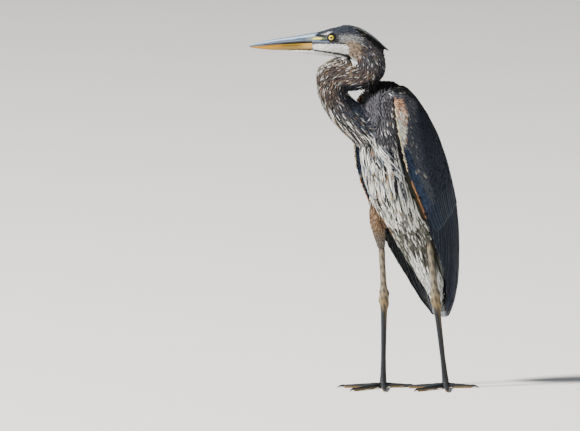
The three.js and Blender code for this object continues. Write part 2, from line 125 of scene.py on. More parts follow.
def inside(outline, x, y, soft):
    """How far points lie within an outline: 1 inside, 0 outside, soft over its edge."""
    corners = np.array(outline, float)
    p = np.stack([x, y], -1)
    nearest = np.full(len(x), 1e9)
    odd = np.zeros(len(x), bool)
    for a, b in zip(corners, np.roll(corners, -1, 0)):
        t = np.clip(((p - a) @ (b - a)) / ((b - a) @ (b - a)), 0, 1)
        nearest = np.minimum(nearest, np.linalg.norm(p - a - t[:, None] * (b - a), axis=1))
        rise = b[1] - a[1] if abs(b[1] - a[1]) > 1e-9 else 1e-9
        odd ^= ((a[1] > y) != (b[1] > y)) & (x < (b[0] - a[0]) * (y - a[1]) / rise + a[0])
    return step(np.where(odd, nearest, -nearest), -soft, soft)


# ---- colours ----
def shade(code):
    """A linear colour from a six-figure sRGB code."""
    srgb = np.array([int(code[i : i + 2], 16) for i in (0, 2, 4)]) / 255
    return np.where(srgb < 0.04045, srgb / 12.92, ((srgb + 0.055) / 1.055) ** 2.4)


def mix(a, b, share):
    return a + (b - a) * np.asarray(share)[..., None]


def painted(ground, *layers):
    """A ground colour with layers over it. Each layer is a colour and its share at every point."""
    for tint, share in layers:
        ground = mix(ground, tint, share)
    return ground


NAVY = shade("0e1524")
BLACK = shade("07080b")
SLATE = shade("3f4a59")
SLATE_DARK = shade("1d232d")
SLATE_BLUE = shade("33486a")
BROWN_GREY = shade("554b47")
BROWN_DARK = shade("1d1816")
GREY = shade("7b7e80")
TAN = shade("857862")
BUFF = shade("b08c60")
RUFOUS = shade("854a2c")
ORANGE = shade("d58d50")
CREAM = shade("e2d6b4")
WHITE = shade("f4f5f3")
YELLOW = shade("dccb30")
LEG_PALE = shade("69665c")
LEG_OCHRE = shade("846a3a")
LEG_DARK = shade("14171c")
OLIVE = shade("6d6a52")


# ---- surfaces ----
def split(quads):
    """Two triangles for each four-sided face."""
    return np.concatenate([quads[:, [0, 1, 2]], quads[:, [0, 2, 3]]])


def joined(meshes):
    """Meshes of (points, faces) as one: all their points, and their faces counted through."""
    shifts = np.cumsum([0] + [len(points) for points, _ in meshes])
    faces = [faces + shift for (_, faces), shift in zip(meshes, shifts)]
    return np.concatenate([points for points, _ in meshes]), np.concatenate(faces)


def point_normals(points, faces, across):
    """A unit normal at each point, from the area vectors of the faces round it."""
    normals = np.zeros_like(points)
    for corner in faces.T:
        np.add.at(normals, corner, across)
    return unit(normals)


class Surface:
    """A mesh of four-sided faces, with smooth normals and a tree to find points on it."""

    def __init__(self, points, faces):
        self.points, self.faces = points, faces
        a, b, c, d = (points[faces[:, k]] for k in range(4))
        across = np.cross(c - a, d - b)
        self.normals = point_normals(points, faces, across)
        self.face_normals = unit(self.normals[faces].sum(1))
        self.areas = np.linalg.norm(across, axis=1) / 2
        self.tree = BVHTree.FromPolygons(points.tolist(), faces.tolist())

    def nearest(self, points):
        found = [self.tree.find_nearest(p) for p in points.tolist()]
        spots = np.array([f[0][:] for f in found])
        return spots, self.face_normals[[f[2] for f in found]]

    def distance(self, points):
        return np.array([self.tree.find_nearest(p)[3] for p in points.tolist()])

    def hit(self, points, ways, reach):
        """How far a ray from each point goes before it meets the surface, or reach if it meets nothing."""
        found = [self.tree.ray_cast(p, w, reach)[3] for p, w in zip(points.tolist(), ways.tolist())]
        return np.array([reach if f is None else f for f in found])

    def spread(self, count, rng):
        """Random points over the surface, even by area, with their normals."""
        which = rng.choice(len(self.faces), count, p=self.areas / self.areas.sum())
        u, v = rng.random((2, count, 1))
        a, b, c, d = (self.points[self.faces[which, k]] for k in range(4))
        return (a * (1 - u) + b * u) * (1 - v) + (d * (1 - u) + c * u) * v, self.face_normals[which]


def points_of(mesh):
    """A mesh's points, turned from metres into millimetres."""
    points = np.empty(len(mesh.vertices) * 3, np.float32)
    mesh.vertices.foreach_get("co", points)
    return points.reshape(-1, 3).astype(float) / MM


def solid_of(name, grow):
    """A CAD node in the body frame, as points moved out by grow along their normals, and triangles."""
    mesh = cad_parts[name].data
    mesh.calc_loop_triangles()
    corners = np.empty(len(mesh.loop_triangles) * 3, np.int32)
    mesh.loop_triangles.foreach_get("vertices", corners)
    points = points_of(mesh) - BODY_AT
    _, first, again = np.unique(np.round(points, 3), axis=0, return_index=True, return_inverse=True)
    points, faces = points[first], again.reshape(-1)[corners].reshape(-1, 3)
    a, b, c = (points[faces[:, k]] for k in range(3))
    return points + point_normals(points, faces, np.cross(b - a, c - a)) * grow, faces


def add(name, data):
    obj = bpy.data.objects.new(name, data)
    bpy.context.scene.collection.objects.link(obj)
    return obj


def merged(name, solids, voxel, rounds):
    """Closed solids joined into one skin of small even faces, then smoothed in a number of rounds."""
    points, triangles = joined(solids)
    mesh = bpy.data.meshes.new(name)
    mesh.from_pydata((points * MM).tolist(), [], triangles.tolist())
    obj = add(name, mesh)
    voxels = obj.modifiers.new("voxels", "REMESH")
    voxels.mode = "VOXEL"
    voxels.voxel_size = voxel * MM
    rounding = obj.modifiers.new("rounding", "SMOOTH")
    rounding.iterations = rounds
    depsgraph = bpy.context.evaluated_depsgraph_get()
    fine = bpy.data.meshes.new_from_object(obj.evaluated_get(depsgraph), depsgraph=depsgraph)
    faces = np.array([p.vertices[:] for p in fine.polygons if len(p.vertices) == 4], int)
    surface = Surface(points_of(fine), faces)
    bpy.data.objects.remove(obj)
    bpy.data.meshes.remove(mesh)
    bpy.data.meshes.remove(fine)
    return surface


def make(name, points, faces, material, colours, vane=None, bake=None):
    """A mesh piece from body-frame points and four-sided faces. Its material reads colours and vane at
    each point, and bake is its UV map."""
    mesh = bpy.data.meshes.new(name)
    mesh.vertices.add(len(points))
    mesh.vertices.foreach_set("co", put(points).astype(np.float32).ravel())
    mesh.loops.add(faces.size)
    mesh.loops.foreach_set("vertex_index", faces.astype(np.int32).ravel())
    mesh.polygons.add(len(faces))
    mesh.polygons.foreach_set("loop_start", np.arange(0, faces.size, 4, dtype=np.int32))
    mesh.polygons.foreach_set("use_smooth", np.ones(len(faces), bool))
    mesh.update(calc_edges=True)
    layer = mesh.attributes.new("coat", "FLOAT_COLOR", "POINT")
    opaque = np.concatenate([np.clip(colours, 0, 1), np.ones((len(points), 1))], 1)
    layer.data.foreach_set("color", opaque.astype(np.float32).ravel())
    if vane is not None:
        layer = mesh.attributes.new("vane", "FLOAT_VECTOR", "POINT")
        layer.data.foreach_set("vector", vane.astype(np.float32).ravel())
    if bake is not None:
        layer = mesh.uv_layers.new(name="OFBake")
        layer.data.foreach_set("uv", bake[faces.ravel()].astype(np.float32).ravel())
    mesh.materials.append(material)
    return add(name, mesh)


# ---- materials ----
class Nodes:
    """A material's node tree, with short ways to add and join its nodes."""

    def __init__(self, name):
        self.material = bpy.data.materials.new(name)
        self.material.use_nodes = True
        self.tree = self.material.node_tree
        self.shader = self.tree.nodes["Principled BSDF"]

    def node(self, kind, inputs=None, **settings):
        made = self.tree.nodes.new(kind)
        for key, value in settings.items():
            setattr(made, key, value)
        for key, value in (inputs or {}).items():
            self.join(value, made.inputs[key])
        return made

    def join(self, value, socket):
        if isinstance(value, bpy.types.NodeSocket):
            self.tree.links.new(value, socket)
        else:
            socket.default_value = value

    def coat(self):
        """The colours that make() put on the mesh."""
        return self.node("ShaderNodeAttribute", attribute_name="coat").outputs["Color"]

    def vane(self):
        """The vector that make() put on the mesh: across the vane, along it, and which vane it is."""
        return self.node("ShaderNodeAttribute", attribute_name="vane").outputs["Vector"]

    def place(self):
        return self.node("ShaderNodeTexCoord").outputs["Object"]

    def maths(self, operation, *values):
        return self.node("ShaderNodeMath", dict(enumerate(values)), operation=operation).outputs[0]

    def ranged(self, value, low, high, to_low, to_high):
        names = ("Value", "From Min", "From Max", "To Min", "To Max")
        made = self.node("ShaderNodeMapRange", dict(zip(names, (value, low, high, to_low, to_high))))
        return made.outputs["Result"]

    def noise(self, scale, detail=4.0, place=None):
        inputs = {"Vector": place or self.place(), "Scale": scale, "Detail": detail}
        return self.node("ShaderNodeTexNoise", inputs).outputs["Fac"]

    def times(self, colour, factor):
        made = self.node("ShaderNodeVectorMath", {0: colour, "Scale": factor}, operation="SCALE")
        return made.outputs[0]

    def finish(self, colour, roughness, height=None, depth=0.0, strength=0.5, **sockets):
        self.join(colour, self.shader.inputs["Base Color"])
        self.join(roughness, self.shader.inputs["Roughness"])
        if height is not None:
            bump = self.node("ShaderNodeBump", {"Strength": strength, "Distance": depth, "Height": height})
            self.join(bump.outputs[0], self.shader.inputs["Normal"])
        for key, value in sockets.items():
            self.shader.inputs[key.replace("_", " ")].default_value = value
        return self.material


def feather_material(name, roughness, barb_pitch, barb_depth, sheen):
    """Vanes: the coat's colours with slanting barbs either side of the shaft, and barbs in clumps."""
    n = Nodes(name)
    split_vane = n.node("ShaderNodeSeparateXYZ", {0: n.vane()}).outputs
    across, along, which = split_vane["X"], split_vane["Y"], split_vane["Z"]
    slant = n.maths("ADD", along, n.maths("ABSOLUTE", across))
    grain = n.noise(900.0, 2.0)
    wavy = n.maths("ADD", slant, n.maths("MULTIPLY", grain, barb_pitch))
    wave = n.maths("SINE", n.maths("MULTIPLY", wavy, 2 * math.pi / barb_pitch))
    streak = n.ranged(wave, -1.0, 1.0, 0.8, 1.1)
    patchy = n.ranged(n.noise(45.0), 0.25, 0.75, 0.86, 1.14)
    spot = n.node("ShaderNodeCombineXYZ", {0: n.maths("MULTIPLY", across, 0.5), 1: slant, 2: which})
    clumps = n.noise(0.85, 2.0, spot.outputs[0])
    patchy = n.maths("MULTIPLY", patchy, n.ranged(clumps, 0.3, 0.7, 0.76, 1.16))
    tone = n.times(n.coat(), n.maths("MULTIPLY", streak, patchy))
    rough = n.ranged(grain, 0.2, 0.8, roughness - 0.08, roughness + 0.08)
    return n.finish(tone, rough, wave, barb_depth, 0.45, Sheen_Weight=sheen, Sheen_Roughness=0.5,
                    Specular_IOR_Level=0.14)


def skin_material():
    """Bare and feathered skin: the coat's colours, with fine pebbled scales."""
    n = Nodes("heron_skin")
    inputs = {"Vector": n.place(), "Scale": 620.0}
    cells = n.node("ShaderNodeTexVoronoi", inputs, feature="F1").outputs["Distance"]
    tone = n.times(n.coat(), n.ranged(cells, 0.0, 0.8, 1.12, 0.78))
    tone = n.times(tone, n.ranged(n.noise(160.0), 0.3, 0.7, 0.85, 1.15))
    rough = n.ranged(n.noise(300.0), 0.3, 0.7, 0.42, 0.62)
    return n.finish(tone, rough, cells, 0.0006, 0.35, Specular_IOR_Level=0.3)


def horn_material(name, roughness, coat):
    """Bill and claws: smooth horn with faint growth streaks."""
    n = Nodes(name)
    stretch = n.node("ShaderNodeVectorMath", {0: n.vane(), 1: (1.0, 0.07, 1.0)}, operation="MULTIPLY")
    streak = n.noise(1.6, 5.0, stretch.outputs[0])
    tone = n.times(n.coat(), n.ranged(streak, 0.3, 0.7, 0.82, 1.16))
    rough = n.ranged(streak, 0.3, 0.7, roughness + 0.08, roughness - 0.06)
    return n.finish(tone, rough, streak, 0.0003, 0.3, Coat_Weight=coat, Coat_Roughness=0.25)


def eye_material():
    """The eye's painted iris under a clear wet surface, with fine spokes in the yellow."""
    n = Nodes("heron_eye")
    spokes = n.noise(5.0, 3.0, n.vane())
    tone = n.times(n.coat(), n.ranged(spokes, 0.3, 0.7, 0.82, 1.12))
    rough = n.ranged(spokes, 0.3, 0.7, 0.09, 0.05)
    return n.finish(tone, rough, Coat_Weight=1.0, Coat_Roughness=0.02, IOR=1.4)


# Each feather material: roughness, pitch of the barbs, depth of their bumps in metres, and sheen.
SOFT_FEATHER = feather_material("soft_feather", 0.75, 0.6, 0.00025, 0.04)
COVERT_FEATHER = feather_material("covert_feather", 0.62, 0.8, 0.0002, 0.03)
QUILL_FEATHER = feather_material("quill_feather", 0.55, 0.9, 0.00025, 0.02)
SKIN = skin_material()
HORN = horn_material("bill_horn", 0.34, 0.25)
CLAW = horn_material("claw_horn", 0.4, 0.15)
EYE = eye_material()


# ---- guides: the lie of the coat ----
# Each row of a guide is a point, then the feathers there: gap between roots, length, width, coat's depth.
def gaze_rows(rows):
    rows = np.asarray(rows, float)
    return np.concatenate([from_gaze(rows[:, :3]), rows[:, 3:]], 1)


HEAD_LINE = gaze_rows([
    [250, 0, 682, 1.3, 4.0, 1.3, 0.6],
    [200, 0, 699, 1.3, 4.2, 1.4, 0.7],
    [164, 0, 703, 1.5, 5.0, 1.7, 0.9],
    [134, 0, 702, 2.0, 8.0, 2.1, 1.4],
    [109, 0, 696, 2.4, 11.0, 2.5, 2.0],
    [94, 0, 682, 2.6, 13.0, 2.7, 2.6],
])
UPPER_LINE = gaze_rows([
    [94, 0, 682, 2.6, 13.0, 2.7, 2.6],
    [86, 0, 660, 2.8, 14.0, 2.8, 3.4],
    [88, 0, 643, 2.9, 14.0, 2.8, 3.6],
    [102, 0, 634, 2.9, 14.0, 2.9, 3.6],
])
MIDDLE_LINE = gaze_rows([
    [102, 0, 634, 2.9, 14.0, 2.9, 3.6],
    [124, 0, 635, 3.0, 14.0, 2.9, 3.8],
    [146, 0, 635, 3.0, 15.0, 3.0, 3.8],
    [160, 0, 627, 3.0, 15.0, 3.0, 3.8],
])
LOWER_LINE = gaze_rows([
    [160, 0, 627, 3.0, 15.0, 3.0, 3.8],
    [162, 0, 608, 3.1, 16.0, 3.0, 3.8],
    [156, 0, 590, 3.2, 17.0, 3.1, 4.0],
    [146, -3, 573, 3.3, 18.0, 3.2, 4.4],
    [122, -8, 550, 3.5, 20.0, 3.6, 5.0],
    [94, -13, 528, 3.8, 24.0, 4.0, 6.0],
    [68, -18, 505, 4.2, 32.0, 4.4, 6.5],
])
BELLY_LINE = [
    [8, -84, 500, 4.2, 34.0, 4.4, 6.5],
    [4, -82, 470, 4.4, 42.0, 4.8, 7.0],
    [0, -72, 430, 4.8, 44.0, 5.4, 7.0],
    [0, -56, 390, 5.0, 42.0, 6.0, 7.0],
    [0, -34, 345, 5.2, 40.0, 6.6, 7.0],
    [0, -6, 300, 5.2, 38.0, 7.0, 6.5],
    [0, 22, 250, 5.0, 34.0, 7.0, 5.0],
    [0, 48, 200, 4.8, 32.0, 6.6, 3.6],
    [0, 70, 160, 4.4, 26.0, 6.0, 2.2],
    [0, 80, 138, 4.4, 22.0, 6.0, 1.6],
]
MANTLE_LINE = [
    [16, -100, 548, 2.9, 12.0, 3.0, 3.6],
    [8, -112, 585, 3.0, 12.0, 3.2, 3.6],
    [2, -96, 618, 3.2, 15.0, 3.8, 3.6],
    [0, -66, 630, 4.0, 24.0, 6.0, 3.6],
    [0, -30, 612, 5.6, 38.0, 10.0, 5.0],
    [0, 14, 560, 6.0, 42.0, 11.0, 6.0],
    [0, 50, 490, 6.2, 44.0, 12.0, 6.0],
    [0, 74, 410, 6.4, 46.0, 12.0, 6.0],
    [0, 92, 320, 6.4, 46.0, 12.0, 6.0],
    [0, 104, 230, 6.4, 44.0, 12.0, 5.0],
]
FLANK_LINE = [
    [34, -108, 588, 2.9, 11.0, 2.9, 3.6],
    [45, -103, 560, 3.0, 13.0, 2.9, 4.0],
    [51, -94, 510, 3.6, 20.0, 3.4, 5.2],
    [53, -80, 460, 4.4, 32.0, 4.4, 6.5],
    [51, -62, 400, 4.8, 40.0, 5.2, 7.0],
    [47, -40, 350, 5.0, 38.0, 5.6, 6.5],
    [40, -6, 300, 5.0, 34.0, 6.0, 5.5],
    [30, 24, 250, 4.8, 32.0, 6.4, 4.5],
    [16, 54, 200, 4.6, 30.0, 6.4, 3.0],
]
# Each leg: the middle of its thigh from the top down, its heel, its ankle, and each toe's way in degrees
# from straight ahead.
LEGS = {
    "left": {
        "thigh": [[32, -34, 384], [37, -25, 358], [42.5, -13, 334], [45.5, -3, 313], [46, 3, 298]],
        "heel": [46, 21, 186],
        "ankle": [50, 46, 11],
        "toes": {"inner": -42, "middle": 6, "outer": 46, "hind": 138},
    },
    "right": {
        "thigh": [[-36, -58, 402], [-40, -56, 370], [-43.5, -52, 336], [-45.5, -45.5, 306], [-46, -40, 282]],
        "heel": [-45, -33.5, 186],
        "ankle": [-42, -39, 11],
        "toes": {"inner": 46, "middle": 4, "outer": -44, "hind": 148},
    },
}
TOE_LENGTHS = {"inner": 74, "middle": 88, "outer": 78, "hind": 52}
THIGH_FEATHER = [2.8, 14.0, 3.4, 2.6]  # the last four numbers of a guide's rows, for a thigh


class Guides:
    """Lines that the coat lies along. They are read at any point as a mean that favours what is near."""

    SPACING = 5.0  # between the places on a line that are read
    NEAREST = 4.0  # nearer than this, all places count alike
    CHUNK = 8000  # points read at a time
    POINT, SIZES, WAY, SIDE = slice(0, 3), slice(3, 7), slice(7, 10), slice(10, 13)  # columns of the rows

    def __init__(self, lines):
        parts = []
        for label, (rows, lateral) in enumerate(lines.values()):
            rows = np.asarray(rows, float)
            reach = np.linalg.norm(np.diff(rows[:, self.POINT], axis=0), axis=1).sum()
            shares = np.linspace(0, 1, max(int(reach / self.SPACING), 4))
            values = blended(rows, shares)
            ways = unit(np.gradient(values[:, self.POINT], axis=0))
            sides = flat_to(np.broadcast_to(lateral, ways.shape), ways)
            marks = np.stack([np.full(len(shares), label), shares], 1)
            parts.append(np.concatenate([values, ways, sides, marks], 1))
        self.names = list(lines)
        self.rows = np.concatenate(parts)

    def read(self, points):
        """For each point: the way the coat lies, its sizes, and the nearest line's label, share, centre,
        way and side."""
        chunks = np.array_split(points, max(len(points) // self.CHUNK, 1))
        found = [self.read_chunk(chunk) for chunk in chunks]
        return {key: np.concatenate([part[key] for part in found]) for key in found[0]}

    def read_chunk(self, points):
        gap = ((points[:, None] - self.rows[None, :, self.POINT]) ** 2).sum(2)
        weights = 1 / (gap + self.NEAREST**2) ** 3
        weights /= weights.sum(1, keepdims=True)
        near = self.rows[gap.argmin(1)]
        return {
            "way": unit(weights @ self.rows[:, self.WAY]),
            "sizes": weights @ self.rows[:, self.SIZES],
            "label": near[:, -2].astype(int),
            "share": near[:, -1],
            "centre": near[:, self.POINT],
            "line_way": near[:, self.WAY],
            "side": near[:, self.SIDE],
        }


def part_of(place, mine):
    """What Guides.read() gave, for some of its points only."""
    return {key: value[mine] for key, value in place.items()}


def mirrored(rows):
    return [[-row[0]] + list(row[1:]) for row in rows]


def thigh_rows(side):
    return [row + THIGH_FEATHER for row in LEGS[side]["thigh"]]


LEFTWARDS = np.array([1.0, 0.0, 0.0])
neck_lines = {"head": HEAD_LINE, "upper": UPPER_LINE, "middle": MIDDLE_LINE, "lower": LOWER_LINE}
body_lines = {
    "belly": BELLY_LINE,
    "mantle": MANTLE_LINE,
    "flank_left": FLANK_LINE,
    "flank_right": mirrored(FLANK_LINE),
    "thigh_left": thigh_rows("left"),
    "thigh_right": thigh_rows("right"),
}
guides = Guides({
    **{name: (rows, GAZE_SIDE) for name, rows in neck_lines.items()},
    **{name: (rows, LEFTWARDS) for name, rows in body_lines.items()},
})
LABEL = {name: i for i, name in enumerate(guides.names)}
BREAST = ["belly", "flank_left", "flank_right"]


def is_part(place, names):
    return np.isin(place["label"], [LABEL[name] for name in names])


# ---- markings of the head ----
# The crown's profile, and the outlines, are in (ahead, up) from the braincase. So is the black cap's depth
# below the crown.
CROWN = [
    (-76, -14), (-70, -5), (-56, 8), (-38, 19), (-18, 28), (2, 30.5), (22, 27.5), (42, 21.5), (66, 15.5),
]
CAP_DEPTH = [(-80, 11), (-40, 11), (-12, 3)]
BARE_LORE = [(70, 9), (50, 11), (37, 10.5), (33, 4), (30, -2), (4, -2.4), (4, -4.6), (70, -5)]
# Each patch is its colour, the softness of its edge and its outline.
HEAD_PATCHES = [
    (mix(GREY, WHITE, 0.12), 4.0, [(16, 13), (-14, 15), (-28, 8), (-24, -2), (2, -3), (15, 0)]),
    (mix(BUFF, GREY, 0.5), 5.0, [(6, 1), (2, -24), (-12, -34), (-24, -28), (-26, -6), (-14, 4)]),
    (WHITE, 2.0, [(-5, -27), (-11, -41), (-19, -58), (-27, -50), (-17, -32)]),
    (mix(WHITE, GREY, 0.15), 1.4, [(51, 12.6), (45, 15.5), (36, 18.4), (30, 18.4), (35, 14), (42, 12.8)]),
    (WHITE, 1.2, [
        (66, -7.4), (58, -5), (4, -5.4), (-2, -12), (0, -24), (18, -22.5), (36, -20), (66, -16.5),
    ]),
    (WHITE, 1.6, [(122, -17), (64, -19.5), (36, -23.5), (6, -30), (20, -38), (60, -34), (110, -25)]),
    (BROWN_DARK, 0.9, [(66, -16.8), (36, -20.2), (16, -24), (16, -26.4), (36, -22.8), (66, -19)]),
    # painted shadow: the black line along the front of the white wedge is the crease between the jaw and the
    # fold of the neck
    (BLACK, 1.6, [(3, -24), (-7, -32), (-14, -42), (-10, -43), (-2, -34), (7, -26)]),
    (mix(SLATE_BLUE, GREY, 0.3), 1.2, [(74, 6), (38, 5), (28, -1.6), (74, -1.6)]),
    (shade("47543a"), 0.9, [(70, 7), (46, 9), (36, 6.5), (36, 3.2), (70, 3.4)]),
    (YELLOW, 0.9, [(66, 6.6), (56, 7.8), (48, 7.4), (46, 5.8), (52, 4.6), (66, 4.4)]),
    (BLACK, 0.8, [(57, 12.4), (35, 12.4), (33, 7.0), (42, 7.4), (48, 9.2), (57, 9.8)]),
    (BLACK, 0.7, [(50, 3.4), (36, 4.6), (34, 1.6), (50, 1.6)]),
    (BLACK, 0.8, [(74, -1.6), (4, -2.6), (2, -4.8), (74, -4.2)]),
]
EYE_AHEAD, EYE_RISE, EYE_ASIDE, EYE_RADIUS = 28.0, 8.2, 14.2, 7.2
IRIS_RADIUS, PUPIL_RADIUS, PUPIL_AHEAD = 4.9, 2.5, 0.3
LIDS_OUT = 9.5  # how far the lids' outer edge is from the eye's centre


def from_eye(ahead, aside, rise):
    return np.sqrt((ahead - EYE_AHEAD) ** 2 + (np.abs(aside) - EYE_ASIDE) ** 2 + (rise - EYE_RISE) ** 2)


def head_colours(points):
    ahead, aside, rise = to_head(points)
    below_top = read_off(CROWN, ahead) - rise
    crown = step(below_top, 18, 9) * step(ahead, -30, -10)
    patches = [(tint, inside(outline, ahead, rise, soft)) for tint, soft, outline in HEAD_PATCHES]
    depth = read_off(CAP_DEPTH, ahead)
    cap = step(below_top, depth + 2.5, depth - 1.5) * step(ahead, -8, -18)
    under_chin = step(rise, -24, -30) * step(np.abs(aside), 12, 6) * step(ahead, 4, 16)
    lids = step(from_eye(ahead + 0.7, aside, rise + 0.4), LIDS_OUT + 0.7, LIDS_OUT - 0.2)
    return painted(
        mix(BROWN_GREY, SLATE, 0.45) * 0.8,
        (mix(SLATE, BROWN_GREY, 0.15) * 0.9, crown),
        *patches,
        (BLACK, cap),
        (WHITE, under_chin),
        (BLACK * 0.5, lids),
    )


# ---- markings of the wing ----
# The wing's leading edge: height, x and y.
LEAD = [
    [140, 18, 80], [176, 39, 60], [215, 54, 43], [255, 64, 18], [300, 71, -10], [345, 74, -35],
    [395, 75, -62], [445, 73, -90], [496, 67, -101], [545, 61, -109], [583, 53, -107], [606, 38, -97],
    [614, 20, -86],
]
QUILL_LINE_UP, QUILL_LINE_SLOPE = 352.0, 0.714  # the coverts end at this height, plus the slope times y
# Patches of the wing, as outlines in (back from the leading edge, height).
PANEL = [(5, 520), (13, 514), (26, 440), (30, 385), (22, 350), (5, 400)]
WRIST = [(-4, 592), (14, 590), (26, 562), (18, 530), (9, 505), (-4, 505)]
WRIST_PALE = [(-4, 556), (9, 556), (15, 538), (7, 500), (-4, 480)]
# The front edge of the painted shadow that blackens the back: along the diagonal of each side, and height.
CRESCENT = [(-106, 566), (-86, 583), (-67, 592), (-44, 598), (-18, 596), (2, 586), (14, 572), (30, 548)]


def behind_lead(points):
    """How far back from the leading edge points on a wing lie, level with them."""
    x, y, z = points.T
    return np.hypot(np.abs(x) - read_off(LEAD, z), y - read_off(LEAD, z, 2))


def above_quills(points):
    return points[:, 2] - QUILL_LINE_UP - QUILL_LINE_SLOPE * points[:, 1]


def in_shade(points):
    """1 where the back is painted black, mostly as painted shadow cast by the head and neck and partly as
    its own dark shoulder patch, and 0 in front of its edge over the shoulders.
    """
    x, y, z = points.T
    edge = read_off(CRESCENT, DIAGONAL * (np.abs(x) + y))
    return np.maximum(step(z, edge + 1, edge + 7), step(y, -20, 0))


def wing_colours(points):
    z = points[:, 2]
    back = behind_lead(points)
    streaky = step(np.sin(0.9 * z + 1.3 * back) + np.sin(0.37 * z - 0.8 * back + 1.0), -0.6, 0.9)
    wrist_tint = mix(mix(ORANGE, WHITE, 0.2), WHITE, streaky * step(z, 585, 560))
    edge_tint = mix(CREAM, mix(ORANGE, TAN, 0.35) * 0.8, step(z, 480, 425))
    return painted(
        mix(BROWN_GREY, SLATE, 0.75) * 0.7,
        (NAVY, step(back, 34, 62)),
        (mix(SLATE, BROWN_GREY, 0.4), step(z, 545, 580) * step(back, 62, 40)),
        (NAVY, step(above_quills(points), 80, 20)),
        # painted shadow from the head and neck, over the dark shoulder patch, blackens the wing's top
        (BLACK, in_shade(points) * step(z, 500, 560)),
        (mix(SLATE_BLUE, NAVY, 0.6), inside(PANEL, back, z, 2.5)),
        (wrist_tint, inside(WRIST, back, z, 4.0)),
        (mix(CREAM, WHITE, 0.7), inside(WRIST_PALE, back, z, 4.0)),
        (edge_tint, step(back, 4.8, 2.8) * step(z, 290, 310) * step(z, 585, 572)),
    )


# ---- markings of the body ----
THIGH_TAN = mix(mix(RUFOUS, BUFF, 0.7), GREY, 0.25) * 0.68
# grey-olive of the low belly, partly the feathers' own colour; where the breast and the low plumes take it
# darker, that is painted shade under the belly
LOW_BELLY = mix(GREY, OLIVE, 0.6)


def ventral(place, normals):
    """1 where a surface faces the throat's or belly's side of the body, -1 on the back's side."""
    return (np.cross(place["line_way"], place["side"]) * normals).sum(1)


def right_flank(points):
    return step(points[:, 0], -26, -38) * step(points[:, 2], 425, 400)


def body_colours(points, normals, place):
    """The coat's ground colour, the same for the skin under it."""
    label, front = place["label"], ventral(place, normals)
    x, _, z = points.T
    neck = painted(
        BROWN_GREY * 0.68,
        (SLATE_DARK, step(front, -0.15, -0.7)),
        (mix(GREY, CREAM, 0.3), step(front, 0.65, 0.95) * 0.4),
        (SLATE, (label == LABEL["lower"]) * step(z, 600, 560) * 0.7),
    )
    breast = painted(
        mix(BROWN_GREY, SLATE, 0.5),
        (SLATE_DARK, step(z, 505, 480) * 0.35),
        (GREY * 0.55, step(z, 470, 430)),
        (OLIVE, step(np.abs(x), 30, 50) * step(z, 450, 420) * 0.7),
        (LOW_BELLY * 0.4, step(z, 345, 290)),
        (THIGH_TAN, right_flank(points) * step(z, 305, 325)),
        (WHITE * 0.8, step(z, 275, 240)),
    )
    # the mantle is blackened mostly by painted shadow from the head and neck, partly by its own dark
    # shoulder patch
    mantle = mix(mix(BROWN_GREY, SLATE, 0.5), BLACK, in_shade(points))
    thigh = mix(THIGH_TAN, mix(TAN, GREY, 0.4) * 0.6, step(z, 345, 300))
    colour = np.where(is_part(place, BREAST)[:, None], breast, neck)
    colour = np.where(is_part(place, ["mantle"])[:, None], mantle, colour)
    colour = np.where(is_part(place, ["thigh_left", "thigh_right"])[:, None], thigh, colour)
    near_head = step(z, HEAD_UP - 58, HEAD_UP - 36) * (label <= LABEL["upper"])
    return mix(colour, head_colours(points), near_head)


# ---- vanes ----
STATIONS = 5  # rings along a small feather
RING = np.array([[-1.0, 0.0], [0.0, 1.0], [1.0, 0.0], [0.0, -1.0]])  # left edge, top, right edge, bottom
PATCH = 0.003  # side of each small feather's patch on its bake map
KEEP, TURN = 0.7, 0.3  # at each step over a surface, the shares of a line's own way and of the coat's
UNDERSIDE = GREY * 0.7


def scattered(points, gaps):
    """Which points to keep, taken in order, so that each is its gap away from the others kept."""
    tree = KDTree(len(points))
    for i, p in enumerate(points.tolist()):
        tree.insert(p, i)
    tree.balance()
    free, kept = np.ones(len(points), bool), []
    for i in range(len(points)):
        if free[i]:
            kept.append(i)
            for _, j, _ in tree.find_range(points[i], gaps[i]):
                free[j] = False
    return np.array(kept)


def lines_over(surface, roots, lengths, way_at, stations, turn):
    """Centre lines that run over a surface from their roots: points, normals and ways at each station."""
    spots, normals = surface.nearest(roots)
    way = flat_to(way_at(spots), normals)
    way = flat_to(way + np.cross(normals, way) * turn[:, None], normals)
    found = []
    for _ in range(stations):
        found.append((spots, normals, way))
        spots, normals = surface.nearest(spots + way * (lengths / (stations - 1))[:, None])
        way = flat_to(KEEP * way + TURN * way_at(spots), normals)
    return tuple(np.stack(part, 1) for part in zip(*found))


def laid(surface, roots, way_at, done, stations, pace=4.0, most=80):
    """Centre lines that run over a surface from their roots until they are done: points, normals, ways."""
    spots, ups = surface.nearest(roots)
    way = flat_to(way_at(spots), ups)
    track, normals = [spots], [ups]
    going = np.ones(len(roots), bool)
    steps = np.zeros(len(roots), int)
    for k in range(most):
        spots, ups = surface.nearest(spots + way * pace)
        way = flat_to(KEEP * way + TURN * way_at(spots), ups)
        track.append(spots)
        normals.append(ups)
        steps += going
        going = going & ~done(spots, (k + 1) * pace)
        if not going.any():
            break
    track, normals = np.array(track), np.array(normals)
    at = np.linspace(0, 1, stations)[:, None] * np.maximum(steps, 2)
    low = np.minimum(at.astype(int), len(track) - 2)
    share = (at - low)[..., None]
    each = np.arange(len(roots))[None]
    spots = (track[low, each] * (1 - share) + track[low + 1, each] * share).transpose(1, 0, 2)
    ups = unit(normals[low, each] * (1 - share) + normals[low + 1, each] * share).transpose(1, 0, 2)
    return spots, ups, unit(np.gradient(spots, axis=1))


